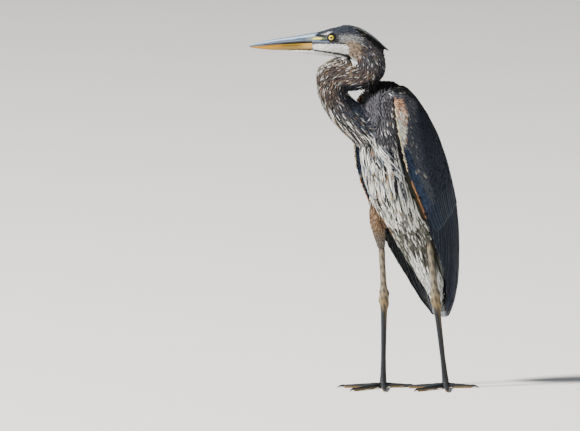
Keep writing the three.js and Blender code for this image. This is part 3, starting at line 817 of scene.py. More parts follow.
def profile(point, stations):
    """A vane's half width along its length, as a share. A higher point makes a sharper tip."""
    t = np.linspace(0, 1, stations)
    wide = (t + 0.08) ** 0.45 * (1.04 - t) ** point
    return wide / wide.max()


def lengths_of(lines):
    return np.linalg.norm(np.diff(lines, axis=1), axis=2).sum(1)


def weighed(a, b, share):
    share = share[..., None]
    return a * (1 - share) + b * share


def over_vane(colours, at_edge, at_tip):
    """A colour for each vane, station along it and place across it, from its middle's, edge's and tip's."""
    middle, edge, tip = (c[:, None, None] for c in colours)
    return weighed(weighed(middle, edge, at_edge), tip, at_tip[:, None])


def copies(faces, count, points_each):
    """The faces of one vane, repeated for each of many."""
    return (faces[None] + (np.arange(count) * points_each)[:, None, None]).reshape(-1, 4)


def small_vanes(name, lines, widths, depths, lift, colours, bake, material, point, droop=0.2, thick=0.15):
    """Many small closed vanes as one mesh. lines are from lines_over and colours are (centre, edge, tip)."""
    spots, ups, ways = lines
    count, stations = spots.shape[:2]
    t = np.linspace(0, 1, stations)
    sides = np.cross(ways, ups)
    rise = -np.broadcast_to(depths, count)[:, None] * (1 - t) ** 1.4 + lift[:, None] * t**1.5
    centre = spots + ups * rise[..., None]
    half = widths[:, None] / 2 * profile(point, stations)
    across = half[..., None] * RING[:, 0]
    up = (thick * (1 - 0.6 * t))[None, :, None] * RING[:, 1] - droop * np.abs(across)
    points = centre[:, :, None] + sides[:, :, None] * across[..., None] + ups[:, :, None] * up[..., None]
    # painted shade: each vane is darker towards its root, where the feathers over it would shade it
    out_of_shade = 0.62 + 0.38 * step(t, 0.0, 0.55)
    tint = over_vane(colours, np.abs(RING[:, 0]), step(t, 0.45, 1.0)) * out_of_shade[:, None, None]
    vane = np.zeros(points.shape)
    vane[..., 0] = across
    vane[..., 1] = (t[None] * lengths_of(spots)[:, None])[..., None]
    vane[..., 2] = np.arange(count)[:, None, None] % 97
    patch = np.stack(np.broadcast_arrays(RING[:, 0][None, :] / 2, (t - 0.5)[:, None]), -1) * PATCH
    uv = bake[:, None, None] + patch[None]
    sides_round = np.arange(len(RING))
    rows = np.arange(stations - 1)[:, None] * len(RING)
    near, following = rows + sides_round, rows + np.roll(sides_round, -1)
    quads = np.stack([near, following, following + len(RING), near + len(RING)], -1).reshape(-1, 4)
    caps = np.array([sides_round[::-1], (stations - 1) * len(RING) + sides_round])
    faces = copies(np.concatenate([quads, caps]), count, stations * len(RING))
    return make(name, points.reshape(-1, 3), faces, material, tint.reshape(-1, 3), vane.reshape(-1, 3),
                uv.reshape(-1, 2))


def broad_vanes(name, lines, half_widths, lift, colours, material, surface=None, tilt=0.0, shaft=0.0,
                columns=9, thick=0.45, camber=0.0, point=0.4):
    """A few long flight feathers as one mesh, each with its shaft and its own strip of the bake map.
    With a surface, each vane is laid over it from edge to edge. colours are (vane, edge, tip, shaft)."""
    spots, ups, ways = lines
    count, stations = spots.shape[:2]
    t = np.linspace(0, 1, stations)
    sides = np.cross(ways, ups)
    across = np.linspace(-1, 1, columns)
    half = np.broadcast_to(half_widths, count)[:, None] * profile(point, stations)
    reach = half[..., None] * across
    points = spots[:, :, None] + sides[:, :, None] * reach[..., None]
    normals = np.broadcast_to(ups[:, :, None], points.shape)
    if surface is not None:
        laid_points, laid_normals = surface.nearest(points.reshape(-1, 3))
        points, normals = laid_points.reshape(points.shape), laid_normals.reshape(points.shape)
    shaft_at = bell(across, shaft, 0.09)
    lifted = np.broadcast_to(lift, count)[:, None, None] * step(t, 0.0, 0.5)[None, :, None]
    rise = lifted + tilt * across + shaft_at * 0.35 * (1 - 0.6 * t)[None, :, None] + camber * (1 - across**2)
    top = points + normals * rise[..., None]
    both = np.stack([top, top - normals * thick], 1)
    *vane_colours, quill = (np.broadcast_to(c, (count, 3)) for c in colours)
    at_edge = step(np.abs(across), 0.72, 1.0)
    tint = weighed(over_vane(vane_colours, at_edge, step(t, 0.9, 1.0)), quill[:, None, None], shaft_at)
    below = mix(mix(tint, UNDERSIDE, 0.3), UNDERSIDE * 2.6, at_edge)
    tint = np.stack([tint, below], 1)
    vane = np.zeros(both.shape)
    vane[..., 0] = (reach - half[..., None] * shaft)[:, None]
    vane[..., 1] = (t[None] * lengths_of(spots)[:, None])[:, None, :, None]
    uv = np.zeros(both.shape[:-1] + (2,))
    lane = np.arange(count)[:, None, None, None]
    sheet = np.arange(2)[None, :, None, None]
    uv[..., 0] = (lane + 0.25 + 0.5 * sheet + 0.2 * across) / count
    uv[..., 1] = 0.02 + 0.96 * t[None, None, :, None]
    over = np.arange(stations * columns).reshape(stations, columns)
    under = over + over.size
    sheets = [
        (over[:-1, :-1], over[:-1, 1:], over[1:, 1:], over[1:, :-1]),
        (under[:-1, :-1], under[1:, :-1], under[1:, 1:], under[:-1, 1:]),
        (over[:-1, 0], over[1:, 0], under[1:, 0], under[:-1, 0]),
        (over[1:, -1], over[:-1, -1], under[:-1, -1], under[1:, -1]),
        (over[0, 1:], over[0, :-1], under[0, :-1], under[0, 1:]),
        (over[-1, :-1], over[-1, 1:], under[-1, 1:], under[-1, :-1]),
    ]
    one = np.concatenate([np.stack([c.ravel() for c in corners], -1) for corners in sheets])
    return make(name, both.reshape(-1, 3), copies(one, count, 2 * over.size), material, tint.reshape(-1, 3),
                vane.reshape(-1, 3), uv.reshape(-1, 2))


def bake_places(a, b):
    """Two coordinates over the skin, each stretched to fill the bake map."""
    return np.stack([0.01 + 0.98 * (v - v.min()) / max(np.ptp(v), 1e-9) for v in (a, b)], 1)


def round_guides(points, place):
    """Bake places by the angle round the nearest guide, and by the distance along it."""
    out = points - place["centre"]
    belly_side = np.cross(place["line_way"], place["side"])
    angle = np.arctan2((out * place["side"]).sum(1), (out * belly_side).sum(1))
    return bake_places(angle, place["label"] * 2.0 + place["share"])


# ---- envelopes: the coat's outer shape, out to the feather tips ----
BODY_NODES = ["neck_upper", "neck_middle", "neck_lower", "trunk", "thigh_left", "thigh_right"]
SIDES = {"left": 1, "right": -1}
WING_NODES = {side: [f"wing_{side}_coverts", f"wing_{side}_quills"] for side in SIDES}
GROWN = 0.45  # by which the feather tips stand out of the CAD solids


def envelope(name, nodes, voxel, rounds):
    return merged(name, [solid_of(node, GROWN) for node in nodes], voxel, rounds)


coat_outside = envelope("coat_outside", BODY_NODES + ["head", "chin", "crest"], voxel=2.0, rounds=10)
wing_outside = {side: envelope("wing_outside", WING_NODES[side], voxel=2.0, rounds=6) for side in SIDES}


# ---- coat of the head, neck and body ----
# How often a feather is white, black, buff or rufous. What is said of a part adds to what holds around it.
STREAKS = {
    "head": (0.01, 0, 0.02, 0),
    "behind_eye": (0.14, 0.12, 0.08, 0),
    "crown": (0, 0.2, 0, 0),
    "neck": (0.12, 0.28, 0.07, 0.045),
    "throat": (0.16, 0.14, 0.07, 0),
    "nape": (-0.08, 0.1, -0.06, -0.045),
    "upper_breast": (0.1, 0.16, 0.02, 0),
    "belly": (0.55, 0.16, 0.04, 0),
    "vent": (0.3, 0, 0, 0),
}
STREAK_TINTS = np.stack([WHITE, BLACK, mix(BUFF, TAN, 0.5), RUFOUS])
PALE = 0.6  # ground colours above this brightness vary less from feather to feather


def pick(rng, count, chances):
    """A choice for each of count feathers: the index of one of the chances, or their number for none."""
    edges = np.cumsum(np.broadcast_to(chances, (count, np.shape(chances)[-1])), 1)
    return (rng.random(count)[:, None] > edges).sum(1)


def varied(rng, colours, middle, spread):
    """Colours made darker or paler at random, all three parts alike."""
    return colours * np.exp(rng.normal(middle, spread, len(colours)))[:, None]


def coat_colours(roots, normals, place, rng):
    """(centre, edge, tip) of each feather: the ground colour with the streaks of its part of the coat."""
    count = len(roots)
    label, front = place["label"], ventral(place, normals)
    z = roots[:, 2]
    ahead, _, rise = to_head(roots)
    ground = body_colours(roots, normals, place)
    ground = ground * np.exp(rng.normal(0, 0.2, count) * np.where(ground.mean(1) > PALE, 0.25, 1))[:, None]
    on_head = (label == LABEL["head"]) | ((label == LABEL["upper"]) & (rise > -30))
    on_neck = ((label >= LABEL["upper"]) & (label <= LABEL["lower"])) & ~on_head
    on_breast = is_part(place, BREAST)
    upper = on_breast * step(z, 470, 500)
    shares = {
        "head": on_head,
        "behind_eye": on_head * step(ahead, -8, -24) * (head_colours(roots).mean(1) > 0.02),
        "crown": on_head * step(rise, 10, 18) * step(ahead, -30, -10),
        "neck": on_neck,
        "throat": step(front, 0.3, 0.7) * on_neck,
        "nape": step(front, -0.25, -0.7) * on_neck,
        "upper_breast": upper,
        "belly": on_breast * (1 - upper) * step(z, 290, 330) * (1 - right_flank(roots)),
        "vent": on_breast * step(z, 270, 240),
    }
    kind = pick(rng, count, sum(shares[part][:, None] * np.array(row) for part, row in STREAKS.items()))
    strength = np.where(on_head, 0.45, np.where(on_neck, 0.56, 0.9)) * (0.55 + 0.45 * rng.random(count))
    plain = len(STREAK_TINTS)  # the kind with no streak
    centre = mix(ground, STREAK_TINTS[np.minimum(kind, plain - 1)], np.where(kind < plain, strength, 0))
    return centre, mix(centre, ground * 0.8, 0.5), varied(rng, mix(centre, ground, 0.2), 0.05, 0.1)


def lie(points):
    return guides.read(points)["way"]


CANDIDATES = 150000
WING_REACH = 26.0  # feathers with a wing nearer than this over them are left out
rng = np.random.default_rng(41)
spots, normals = coat_outside.spread(CANDIDATES, rng)
place = guides.read(spots)
ahead, aside, rise = to_head(spots)
bare = (inside(BARE_LORE, ahead, rise, 0.5) > 0.5) | (from_eye(ahead, aside, rise) < LIDS_OUT)
bare &= is_part(place, ["head"])
body_side = place["label"] >= LABEL["lower"]
under_wing = np.zeros(len(spots), bool)
for wing in wing_outside.values():
    room = wing.hit(spots[body_side] - 0.5 * normals[body_side], normals[body_side], WING_REACH)
    under_wing[body_side] |= room < WING_REACH - 1
kept = np.flatnonzero(~bare & ~under_wing)
kept = kept[scattered(spots[kept], place["sizes"][kept, 0] * 0.8)]
spots, normals, place = spots[kept], normals[kept], part_of(place, kept)

# Each piece: its guides, its material's slot, and how sharp its feathers are.
COAT_PIECES = {
    "coat_head": (["head"], "crown_feathers", 0.5),
    "coat_neck_upper": (["upper"], "neck_feathers", 0.75),
    "coat_neck_middle": (["middle"], "neck_feathers", 0.75),
    "coat_neck_lower": (["lower"], "neck_feathers", 0.8),
    "coat_belly": (BREAST, "belly_feathers", 0.8),
    "coat_mantle": (["mantle"], "covert_feathers", 0.5),
    "coat_thighs": (["thigh_left", "thigh_right"], "thigh_feathers", 0.6),
}
coat = []
for name, (labels, slot, point) in COAT_PIECES.items():
    mine = is_part(place, labels)
    roots, here = spots[mine], part_of(place, mine)
    count = len(roots)
    _, lengths, widths, depths = (here["sizes"] * rng.uniform(0.82, 1.22, (count, 1))).T
    lines = lines_over(coat_outside, roots, lengths, lie, STATIONS, rng.normal(0, 0.14, count))
    colours = coat_colours(roots, normals[mine], here, rng)
    lift = rng.uniform(0.1, 0.7, count) * np.minimum(lengths / 12, 1.6)
    bake = round_guides(roots, here)
    piece = small_vanes(name, lines, widths * 1.1, depths, lift, colours, bake, SOFT_FEATHER, point)
    coat.append((piece, slot))


# ---- plumes: long and loose, over the small feathers ----
PLUME_ROOT = 1.5  # how deep the root of a plume lies
# Each layer: which guides, from and to height, how many, length, width, lift, point, then the shares of
# white, dark and buff ones, and the colour of the rest.
PLUMES = {
    "plumes_neck": (["lower", "belly"], (470, 575), 340, (26, 46), (2.4, 3.8), (0.8, 2.4), 1.0,
                    (0.34, 0.32, 0.05), mix(BROWN_GREY, GREY, 0.3)),
    "plumes_breast": (BREAST, (400, 500), 330, (38, 68), (4.4, 7.4), (1.0, 3.4), 0.9,
                      (0.54, 0.14, 0.02), mix(GREY, SLATE, 0.4)),
    "plumes_belly": (BREAST, (352, 405), 200, (30, 48), (5.4, 8.6), (0.8, 2.8), 0.75,
                     (0.55, 0.11, 0.02), mix(GREY, OLIVE, 0.5)),
    # the low plumes are darker and less often white: painted shade under the belly
    "plumes_low": (BREAST, (258, 352), 240, (26, 44), (4.6, 7.0), (0.8, 2.4), 0.75,
                   (0.24, 0.1, 0.0), LOW_BELLY * 0.6),
    "plumes_vent": (["belly"], (150, 280), 230, (30, 48), (6.0, 9.5), (0.8, 2.2), 0.6,
                    (0.84, 0.0, 0.0), GREY),
}
# The longest plumes fan out from the foot of the neck over the left breast.
FAN_FROM, FAN_TO = -112.0, -58.0  # along the head's plane, where they hang straightest and slant most
FAN = (46, (44, 72), (3.8, 6.2), (2.0, 5.0), 1.0, (0.62, 0.14, 0.0), mix(GREY, SLATE, 0.5))


def plumes(name, fits, sizes, pale, edging, way=lie, stations=8, bend=0.12, tone=(-0.05, 0.14)):
    """A layer of plumes from some of the roots that fit. edging is the edge's colour and its share."""
    most, long, wide, lift, point, chances, rest = sizes
    mine = rng.permutation(np.flatnonzero(fits))[:most]
    roots = spots[mine]
    count = len(roots)
    reach = rng.uniform(*long, count)
    lines = lines_over(coat_outside, roots, reach, way, stations, rng.normal(0, bend, count))
    tints = np.stack([pale, BLACK, BUFF, rest])
    centre = varied(rng, tints[pick(rng, count, chances)], *tone)
    return small_vanes(name, lines, rng.uniform(*wide, count), PLUME_ROOT, rng.uniform(*lift, count),
                       (centre, mix(centre, *edging), centre), round_guides(roots, part_of(place, mine)),
                       SOFT_FEATHER, point, droop=0.26, thick=0.14)


x, _, z = spots.T
for name, (labels, (low, high), *sizes) in PLUMES.items():
    fits = is_part(place, labels) & (z > low) & (z < high)
    fits &= ~is_part(place, ["lower"]) | (ventral(place, normals) > 0.2)
    fits &= (x > -34) | (z > 410) | (z < 300)  # none hang over the top of the right thigh
    piece = plumes(name, fits, sizes, mix(WHITE, CREAM, 0.2), (sizes[-1] * 0.5, 0.22))
    coat.append((piece, "neck_feathers" if name == "plumes_neck" else "belly_feathers"))


def along_head_plane(points):
    return DIAGONAL * (points[:, 0] + points[:, 1])


def fan_way(points):
    slant = 0.1 + 0.8 * step(along_head_plane(points), FAN_FROM, FAN_TO)
    return np.stack([slant * DIAGONAL, slant * DIAGONAL, -np.ones(len(points))], 1)


along = along_head_plane(spots)
fits = (normals @ GAZE_SIDE > 0.25) & (along > FAN_FROM) & (along < FAN_TO) & (z > 468) & (z < 512)
piece = plumes("plumes_fan", fits, FAN, mix(WHITE, SLATE_BLUE, 0.08), (SLATE, 0.3), way=fan_way, stations=10,
               bend=0.1, tone=(-0.03, 0.1))
coat.append((piece, "neck_feathers"))


# ---- wings ----
AXIS_Y = [[140, 90], [255, 58], [350, 20], [445, -15], [620, -70]]  # height and y of a line inside the wings
FLIGHTS, GREATER = 24, 22
GREATER_LENGTH = 58
WING_TIP_UP = 144.0
BACK_ROUND = 1.72  # the last feather's angle from straight out to the side, towards the back
RIM_START = 0.12  # the first feather's angle from the leading edge
RIM_Y = [(0, -20), (0.3, 20), (0.7, 70), (1, 92)]  # share of the way round the rim, and y there
COVERT_SPOTS = 26000
COVERT_ROOT = 2.2  # how deep the root of a covert lies
EDGE_STRIP = 8  # how far back the leading edge's strip of very small feathers goes


def wing_way(side):
    """The lie of the coverts: down and a little back, and more so over the shoulder."""
    def way(points):
        slope = 0.55 - 0.4 * step(behind_lead(points), 10, 110)
        over = step(points[:, 2], 560, 608)
        return np.stack([0.25 * side * over, slope + 0.9 * over, -1 + 0.3 * over], 1)
    return way


def flight_way(points):
    """The long feathers hang nearly straight down, so the wing's slanting front edge cuts across them."""
    return np.tile([0.0, 0.19, -1.0], (len(points), 1))


def ran_off(spots, run):
    return (behind_lead(spots) < 3.0) & (run > 20) | (spots[:, 2] < WING_TIP_UP)


def from_axis(points):
    out = points.copy()
    out[:, 1] -= read_off(AXIS_Y, points[:, 2])
    out[:, 2] = 0
    return unit(out)


def wing_spot(surface, side, angle, height):
    """The outermost point of a wing at an angle from straight out to the side, towards the back. Where
    nothing is met there, the angle comes back towards the side."""
    y = read_off(AXIS_Y, height)
    for turn in np.linspace(angle, 0.3, 24):
        way = np.array([side * math.cos(turn), math.sin(turn), 0.0])
        start = np.array([0.0, y, height]) + way * 300
        found = surface.tree.ray_cast(start.tolist(), (-way).tolist(), 299.0)[0]
        if found is not None:
            return np.array(found[:])


def rim_points(surface, side, shares, above):
    """Points round a wing, above the quills' upper line, from its leading edge (share 0) to its inner back
    edge (share 1)."""
    points = []
    for share, height in zip(shares, QUILL_LINE_UP + QUILL_LINE_SLOPE * read_off(RIM_Y, shares) + above):
        lead = -math.atan2(read_off(AXIS_Y, height) - read_off(LEAD, height, 2), read_off(LEAD, height))
        angle = lead + RIM_START + share * (BACK_ROUND - lead - RIM_START)
        points.append(wing_spot(surface, side, angle, height))
    return np.array(points)


def wing_coverts(name, surface, side):
    """The small and middle coverts, which grow from the leading edge down to the quills."""
    spots, normals = surface.spread(COVERT_SPOTS, rng)
    outward = (normals * from_axis(spots)).sum(1)
    back = behind_lead(spots)
    spots = spots[(above_quills(spots) > -4) & ((outward > -0.15) | (back < 10))]
    size = step(above_quills(spots), 240, 20)
    gaps = np.where(behind_lead(spots) < EDGE_STRIP, 1.7, 3.0 + 4.4 * size)
    kept = scattered(spots, gaps * 0.8)
    spots, size = spots[kept], size[kept]
    count, back = len(spots), behind_lead(spots)
    at_front = back < EDGE_STRIP
    length = np.where(at_front, 6.5, (11 + 30 * size) * rng.uniform(0.85, 1.15, count))
    width = np.where(at_front, 2.2, (3.4 + 9.5 * size) * rng.uniform(0.9, 1.15, count))
    ground = np.minimum(wing_colours(spots) * (1 + rng.normal(0, 0.12, count))[:, None], 0.92)
    speckle = step(back, 66, 30) * (above_quills(spots) > 110) * (back > 9)
    kind = pick(rng, count, speckle[:, None] * [0.08, 0.15])
    tints = np.stack([mix(CREAM, GREY, 0.6), BLACK])
    centre = mix(ground, tints[np.minimum(kind, 1)], np.where(kind < 2, 0.35, 0))
    colours = (centre, mix(centre, SLATE, 0.02 + 0.14 * step(back, 66, 30)), mix(centre, SLATE, 0.05) * 1.05)
    lines = lines_over(surface, spots, length, wing_way(side), STATIONS, rng.normal(0, 0.08, count))
    lift = rng.uniform(0.2, 0.9, count) * (0.6 + 0.8 * size)
    bake = bake_places(back, spots[:, 2])
    return small_vanes(name, lines, width, COVERT_ROOT, lift, colours, bake, COVERT_FEATHER, 0.34,
                       droop=0.16, thick=0.25)


def flight_feathers(name, surface, side):
    """Secondaries, tertials and primaries, from the leading edge round to the back."""
    share = np.linspace(0, 1, FLIGHTS)
    lines = laid(surface, rim_points(surface, side, share, above=22), flight_way, ran_off, stations=26)
    main = NAVY * rng.uniform(0.75, 1.3, (FLIGHTS, 1))
    colours = (main, mix(main, SLATE, 0.25), mix(main, GREY, 0.25), BLACK)
    return broad_vanes(name, lines, 8.5 + 3.5 * share, 0.1 + 0.3 * (np.arange(FLIGHTS) % 3), colours,
                       QUILL_FEATHER, surface, tilt=0.9 * side, shaft=0.3 * side)


def greater_coverts(name, surface, side):
    """The long coverts over the roots of the flight feathers."""
    share = np.linspace(0.02, 1, GREATER)
    roots = rim_points(surface, side, share, above=34)
    too_long = lambda spots, run: np.full(len(spots), run > GREATER_LENGTH)
    lines = laid(surface, roots, wing_way(side), too_long, stations=14)
    main = mix(NAVY, SLATE, 0.25) * rng.uniform(0.8, 1.25, (GREATER, 1))
    main = mix(main, SLATE_BLUE * 0.35, step(share, 0.3, 0.1) * 0.5)
    colours = (main, mix(main, SLATE, 0.2), mix(main, SLATE, 0.3), main * 0.5)
    return broad_vanes(name, lines, 6.0 + 3.0 * share, 1.3 + 0.3 * (np.arange(GREATER) % 2), colours,
                       COVERT_FEATHER, surface, tilt=0.7 * side, shaft=0.25 * side)


for side_name, side in SIDES.items():
    surface = wing_outside[side_name]
    coat.append((wing_coverts(f"coverts_{side_name}", surface, side), "covert_feathers"))
    piece = flight_feathers(f"flight_{side_name}", surface, side)
    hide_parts(f"wing_{side_name}_quills")
    coat.append((piece, "quill_feathers"))
    coat.append((greater_coverts(f"greater_coverts_{side_name}", surface, side), "covert_feathers"))


# ---- scapulars: long narrow plumes over the back and the wings' inner edges ----
def back_way(points):
    way = np.tile([0.0, 0.1, -1.0], (len(points), 1))
    way[:, 0] = 0.1 * np.sign(points[:, 0])
    return way


SCAPULARS = 64
back_nodes = ["trunk", *WING_NODES["left"], *WING_NODES["right"]]
back_outside = envelope("back_outside", back_nodes, voxel=2.6, rounds=8)
sideways = 2 * rng.random(SCAPULARS) - 1
height = rng.uniform(500, 596, SCAPULARS)
start = np.stack([sideways * (20 + 22 * step(height, 600, 540)), np.full(SCAPULARS, 200.0), height], 1)
hits = [back_outside.tree.ray_cast(p, (0.0, -1.0, 0.0))[0] for p in start.tolist()]
roots = np.array([hit[:] for hit in hits if hit is not None])
roots = roots[np.argsort(roots[:, 2])]
count = len(roots)
reaches = rng.uniform(80, 150, count)
lines = laid(back_outside, roots, back_way, lambda spots, run: run > reaches, 16)
main = mix(SLATE, GREY, rng.uniform(0, 0.45, count)) * rng.uniform(0.6, 1.1, (count, 1))
colours = (main, mix(main, GREY, 0.45), mix(main, GREY, 0.5), main * 0.45)
piece = broad_vanes("scapulars", lines, rng.uniform(2.6, 4.2, count), np.linspace(0.8, 3.2, count), colours,
                    COVERT_FEATHER, columns=5, camber=0.5, point=0.85, thick=0.3)
coat.append((piece, "covert_feathers"))

# ---- tail ----
TAIL_LINE = [[0, 74, 290], [0, 82, 250], [0, 87, 200], [0, 87, 165], [0, 85, 143], [0, 84, 138]]
TAIL_FEATHERS = 12
along = np.linspace(0, 1, 14)
fan = fanned(TAIL_FEATHERS)
tips = np.stack([19 * fan, -1.5 * np.abs(fan), 3.0 * np.abs(fan)], 1)
spots = blended(TAIL_LINE, along) + (0.3 + 0.7 * along)[:, None] * tips[:, None]
ways = unit(np.gradient(spots, axis=1))
ups = flat_to(np.broadcast_to([0.0, 1.0, 0.0], spots.shape), ways)
colours = (SLATE_DARK, GREY, mix(SLATE_DARK, GREY, 0.8), SLATE_DARK * 0.4)
rectrices = broad_vanes("rectrices", (spots, ups, ways), 7.5, 0.2, colours, QUILL_FEATHER, tilt=1.2)
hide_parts("tail")
coat.append((rectrices, "quill_feathers"))

# ---- crest ----
# Its middle line, in (ahead, to the left, up) from the braincase.
CREST_LINE = [[8, 0, 31], [-18, 0, 29], [-40, 0, 19.5], [-60, 0, 5.5], [-76, 0, -9.5], [-88, 0, -20]]
CREST_PLUMES = 9
along = np.linspace(0, 1, 14)
bulge = np.sin(np.linspace(0.25, 1, len(along)) * math.pi * 0.86)
spots = []
for i, fan in enumerate(fanned(CREST_PLUMES)):
    end = 1 - 0.22 * abs(fan) - 0.1 * (i % 2)
    line = blended(CREST_LINE, np.linspace(0.02, end, len(along)))
    line[:, 1] += fan * 6.5 * bulge
    line[:, 2] += 1.0 - 2.6 * abs(fan) + 0.8 * (i % 2) - 3.6 * step(along, 0.4, 0)
    spots.append(from_head(line))
spots = np.array(spots)
ways = unit(np.gradient(spots, axis=1))
ups = unit(np.cross(ways, GAZE_SIDE))
colours = (BLACK, mix(BLACK, SLATE, 0.25), mix(BLACK, SLATE, 0.12), BLACK)
crest = broad_vanes("crest_plumes", (spots, ups, ways), 2.6, 0.1, colours, SOFT_FEATHER, columns=5,
                    camber=0.4, point=0.8)
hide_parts("crest")
coat.append((crest, "crest_feathers"))


# ---- bill ----
def tube(rings):
    """The faces of a tube of rings of points."""
    count, sides = rings.shape[:2]
    grid = np.arange(count * sides).reshape(count, sides)
    follow = np.roll(grid, -1, 1)
    return np.stack([grid[:-1], follow[:-1], follow[1:], grid[1:]], -1).reshape(-1, 4)


CAP = np.array([0.001, 0.6])[:, None, None]  # sizes of the two rings that close each end of a tube


def closed(rings):
    """Rings with two smaller ones at each end, so that the tube closes in a round cap."""
    first, last = (end.mean(0) + (end - end.mean(0)) * CAP for end in (rings[0], rings[-1]))
    return np.concatenate([first, rings, last[::-1]])


def for_closed(values):
    """Values for closed rings: the caps take those of the rings next to them."""
    return np.pad(values, ((2, 2), (0, 0), (0, 0)), "edge").reshape(-1, 3)


# Each bill half: ahead of the braincase, top, bottom and half width.
UPPER_BILL = [
    [54, 18, -1.8, 9], [72, 15, -2.4, 8.4], [100, 10, -3.8, 6.8], [132, 5.2, -5.6, 5], [160, 0, -8.4, 3.4],
    [182, -5, -10.2, 1.9], [196, -9.8, -11, 0.6],
]
LOWER_BILL = [
    [54, -2.2, -17, 8.6], [72, -2.8, -17.4, 8], [100, -4.2, -17.8, 6.2], [126, -5.8, -18.2, 4.8],
    [150, -8, -17.4, 3.4], [172, -10.4, -15.4, 1.9], [190, -11.2, -12.6, 0.7],
]
NOSTRIL_FROM, NOSTRIL_TO, NOSTRIL_UP = 78.0, 97.0, 5.4
GROOVE_UP = 3.4
BILL_SIDES, BILL_RINGS = 40, 90
MOUTH_GAP = 0.32  # how far the lower half's top is drawn up to meet the upper half


def signed_power(value, power):
    return np.sign(value) * np.abs(value) ** power


def upper_bill_tints(ahead, level, tall, sine, slit):
    band = step(ahead, 58, 86) * step(sine, -0.2, -0.42) * step(ahead, 192, 176)
    gape = step(ahead, 84, 62) * step(sine, 0.7, 0.2) * step(sine, -0.6, -0.2)
    return painted(
        shade("34435c"),
        # painted highlight: a pale blue glint along the upper half's ridge
        (shade("a9c0de"), bell(level, 0.52 * tall, 0.26 * tall + 0.2) * 0.85),
        (shade("8a95a5"), bell(level, -0.22 * tall, 0.14 * tall + 0.1) * 0.6),
        (shade("2c3648"), step(sine, 0.88, 1.0) * 0.7),
        (BLACK, np.maximum(band, step(sine, -0.6, -0.85))),
        (shade("8a8f6a"), gape * 0.5),
        # painted shade inside the nostril's slit
        (BLACK * 0.5, slit),
    )


def lower_bill_tints(ahead, level, tall, sine):
    stain = bell(level, 0.35 * tall, 0.16 * tall) * step(ahead, 84, 96) * step(ahead, 134, 118)
    return painted(
        shade("7c6000"),
        (shade("9c6c00"), step(ahead, 110, 160)),
        (shade("b48c46"), step(ahead, 98, 66) * 0.85),
        (shade("3a2812"), stain * 0.8),
        (shade("2a241a"), step(sine, -0.8, -0.97) * 0.7),
        # painted shade along the mouth's line, where the two halves meet
        (shade("1c1a18"), step(sine, 0.62, 0.85)),
    )


def bill_half(name, stations, upper):
    """One half of the bill. sine is 1 along its top and -1 along its bottom."""
    angle = circle(BILL_SIDES)
    sine, cosine = np.sin(angle), np.cos(angle)
    ahead, top, bottom, wide = (v[:, None] for v in blended(stations, np.linspace(0, 1, BILL_RINGS)).T)
    if not upper:
        top = top + MOUTH_GAP
    middle, tall = (top + bottom) / 2, (top - bottom) / 2
    outer = sine if upper else -sine  # positive on the ridge or keel, negative at the mouth
    pinch = 1 - (0.2 if upper else 0.12) * np.maximum(outer, 0) ** 2
    side = wide * signed_power(cosine, np.where(outer > 0, 0.9, 0.5)) * pinch
    rise = middle + tall * signed_power(sine, np.where(outer > 0, 0.95, 0.6))
    ahead, sine = (np.broadcast_to(v, side.shape) for v in (ahead, sine))
    level = rise - middle
    if upper:
        slit = bell(rise - NOSTRIL_UP, 0.02 * (88 - ahead), 0.8)
        slit *= step(ahead, NOSTRIL_FROM - 3, NOSTRIL_FROM + 2) * step(ahead, NOSTRIL_TO + 3, NOSTRIL_TO - 2)
        groove = bell(rise - GROOVE_UP, 0.06 * (90 - ahead), 1.4)
        groove *= step(ahead, 60, 74) * step(ahead, 150, 120)
        dent = 0.9 * slit + 0.5 * groove * (np.abs(cosine) > 0.4)
        side = side - np.sign(side) * np.minimum(dent, np.abs(side) * 0.5)
        colour = upper_bill_tints(ahead, level, tall, sine, slit)
    else:
        colour = lower_bill_tints(ahead, level, tall, sine)
    points = from_head(np.stack([ahead, side, rise], -1).reshape(-1, 3)).reshape(colour.shape)
    rings = closed(points)
    vane = np.stack([np.broadcast_to(angle * 3, side.shape), ahead, rise], -1)
    return make(name, rings.reshape(-1, 3), tube(rings)[:, ::-1], HORN, for_closed(colour), for_closed(vane))


upper_bill = bill_half("maxilla", UPPER_BILL, True)
lower_bill = bill_half("mandible", LOWER_BILL, False)
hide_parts("bill_upper")
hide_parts("bill_lower")


# ---- eyes ----
EYE_RINGS = 72
CORNEA = 0.45  # how far the clear front of the eye stands out of its round


def sphere(rings, sides, first):
    """Angles over a sphere: from its pole, starting just off it, and round it."""
    return np.linspace(first, math.pi - first, rings)[:, None], circle(sides)[None]


def eye(name, side):
    polar, turn = sphere(EYE_RINGS, EYE_RINGS, 0.002)
    radius = EYE_RADIUS + CORNEA * step(polar, 0.95, 0.1)
    aside = EYE_ASIDE + radius * np.cos(polar)
    ahead = radius * np.sin(polar) * np.cos(turn)
    rise = radius * np.sin(polar) * np.sin(turn)
    rows = np.stack(np.broadcast_arrays(EYE_AHEAD + ahead, side * aside, EYE_RISE + rise), -1)
    out = np.hypot(ahead, rise)
    pupil = np.hypot(ahead - PUPIL_AHEAD, rise)
    beyond_iris = np.maximum(step(out, IRIS_RADIUS - 0.2, IRIS_RADIUS + 0.3), polar > math.pi / 2)
    colour = painted(
        shade("dcc000"),
        (shade("ecd93a"), step(pupil, 4.0, 2.8) * 0.4),
        (shade("a87a08"), step(out, IRIS_RADIUS - 1.0, IRIS_RADIUS - 0.2) * 0.7),
        (BLACK * 0.4, step(pupil, PUPIL_RADIUS + 0.15, PUPIL_RADIUS - 0.15)),
        (BLACK, beyond_iris),
    )
    vane = np.stack(np.broadcast_arrays(np.cos(turn) * 2, np.sin(turn) * 2, out * 0.2), -1)
    faces = tube(rows)[:, ::-side]
    return make(name, from_head(rows.reshape(-1, 3)), faces, EYE, colour.reshape(-1, 3), vane.reshape(-1, 3))


